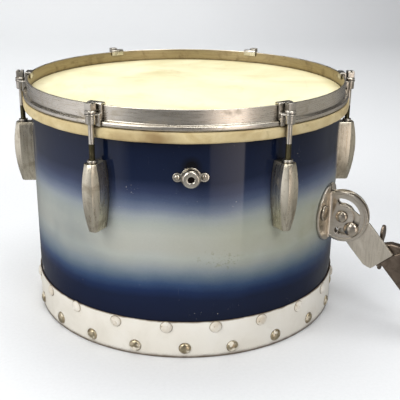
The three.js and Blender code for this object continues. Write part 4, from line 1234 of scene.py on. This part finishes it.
def make_room():
    """The room that glossy work sees: dim behind and above, a bright doorway at the front right."""
    world = bpy.data.worlds.new("room")
    bpy.context.scene.world = world
    world.use_nodes = True
    tree = world.node_tree
    parts = add(tree, "SeparateXYZ", Vector=add(tree, "TexCoord").outputs["Generated"]).outputs
    level = ramp(tree, between(tree, parts[2], -1, 1), [
        (0.0, (0.6, 0.6, 0.6, 1)), (0.34, (0.30, 0.30, 0.30, 1)), (0.48, (0.22, 0.22, 0.23, 1)),
        (0.60, (0.12, 0.12, 0.13, 1)), (0.8, (0.16, 0.16, 0.17, 1)), (1.0, (0.5, 0.5, 0.5, 1))])
    front = between(tree, parts[1], 0.25, -0.85, 0.55, 1.0)
    base = mixed(tree, 1.0, level, add(tree, "CombineColor", Red=front, Green=front,
                                       Blue=front).outputs[0], "MULTIPLY")
    ahead = times(tree, parts[1], -1.0)
    bearing = sums(tree, "ARCTAN2", parts[0], ahead)
    right_edge = between(tree, bearing, 0.700, 0.680)
    left_edge = between(tree, bearing, 0.245, 0.275)
    slope = between(tree, bearing, 0.25, 0.69, 0.30, 1.0)
    door = times(tree, times(tree, right_edge, left_edge), slope)
    tall = times(tree, between(tree, parts[2], -0.50, -0.30),
                between(tree, parts[2], 0.35, 0.05))
    warm = mixed(tree, times(tree, door, tall), base, (2.7, 2.4, 2.25, 1))
    lamp = times(tree, between(tree, bearing, -2.70, -1.50),
                between(tree, bearing, -0.70, -0.86))
    lit = mixed(tree, times(tree, lamp, tall), warm, (0.95, 0.95, 1.0, 1))
    side = times(tree, between(tree, bearing, 0.75, 0.95),
                between(tree, bearing, 2.50, 2.10))
    cool = mixed(tree, times(tree, side, tall), lit, (0.40, 0.39, 0.37, 1))
    background = tree.nodes["Background"]
    fill(background.inputs["Color"], cool, tree)
    background.inputs["Strength"].default_value = 1.0


def make_lights():
    soft_light("key_left", (-1.4, -1.2, 1.3), (0, 0, 0.12), (1.2, 1.4), 25, (1, 0.99, 0.97))
    soft_light("top_soft", (0.1, 0.2, 1.9), (0, 0, 0.1), (1.6, 1.2), 25, (0.98, 0.99, 1))
    soft_light("fill_right", (0.9, -1.6, 1.4), (0, 0, 0.12), (0.7, 0.7), 12, (0.97, 0.98, 1))
    soft_light("wall_wash", (-0.9, 1.3, 2.2), (-0.9, 2.75, 0.7), (2.6, 0.5), 26, (0.98, 1, 1))
    make_room()


def make_camera():
    yaw, pitch, roll = 0.0442, 0.3513, 0.0099
    forward = Vector((math.sin(yaw) * math.cos(pitch), math.cos(yaw) * math.cos(pitch),
                      -math.sin(pitch)))
    right = Vector((math.cos(yaw), -math.sin(yaw), 0))
    up = right.cross(forward)
    right, up = (right * math.cos(roll) + up * math.sin(roll),
                 up * math.cos(roll) - right * math.sin(roll))
    lens = bpy.data.cameras.new("camera")
    lens.lens = 68.03
    lens.sensor_width = 36
    camera = bpy.data.objects.new("camera", lens)
    camera.matrix_world = Matrix.Translation((-0.02007, -0.8068, 0.39962)) @ Matrix((
        (right.x, up.x, -forward.x, 0), (right.y, up.y, -forward.y, 0),
        (right.z, up.z, -forward.z, 0), (0, 0, 0, 1)))
    bpy.context.scene.collection.objects.link(camera)
    bpy.context.scene.camera = camera


make_stage()
make_lights()
make_camera()
bpy.context.scene.view_settings.view_transform = "Standard"
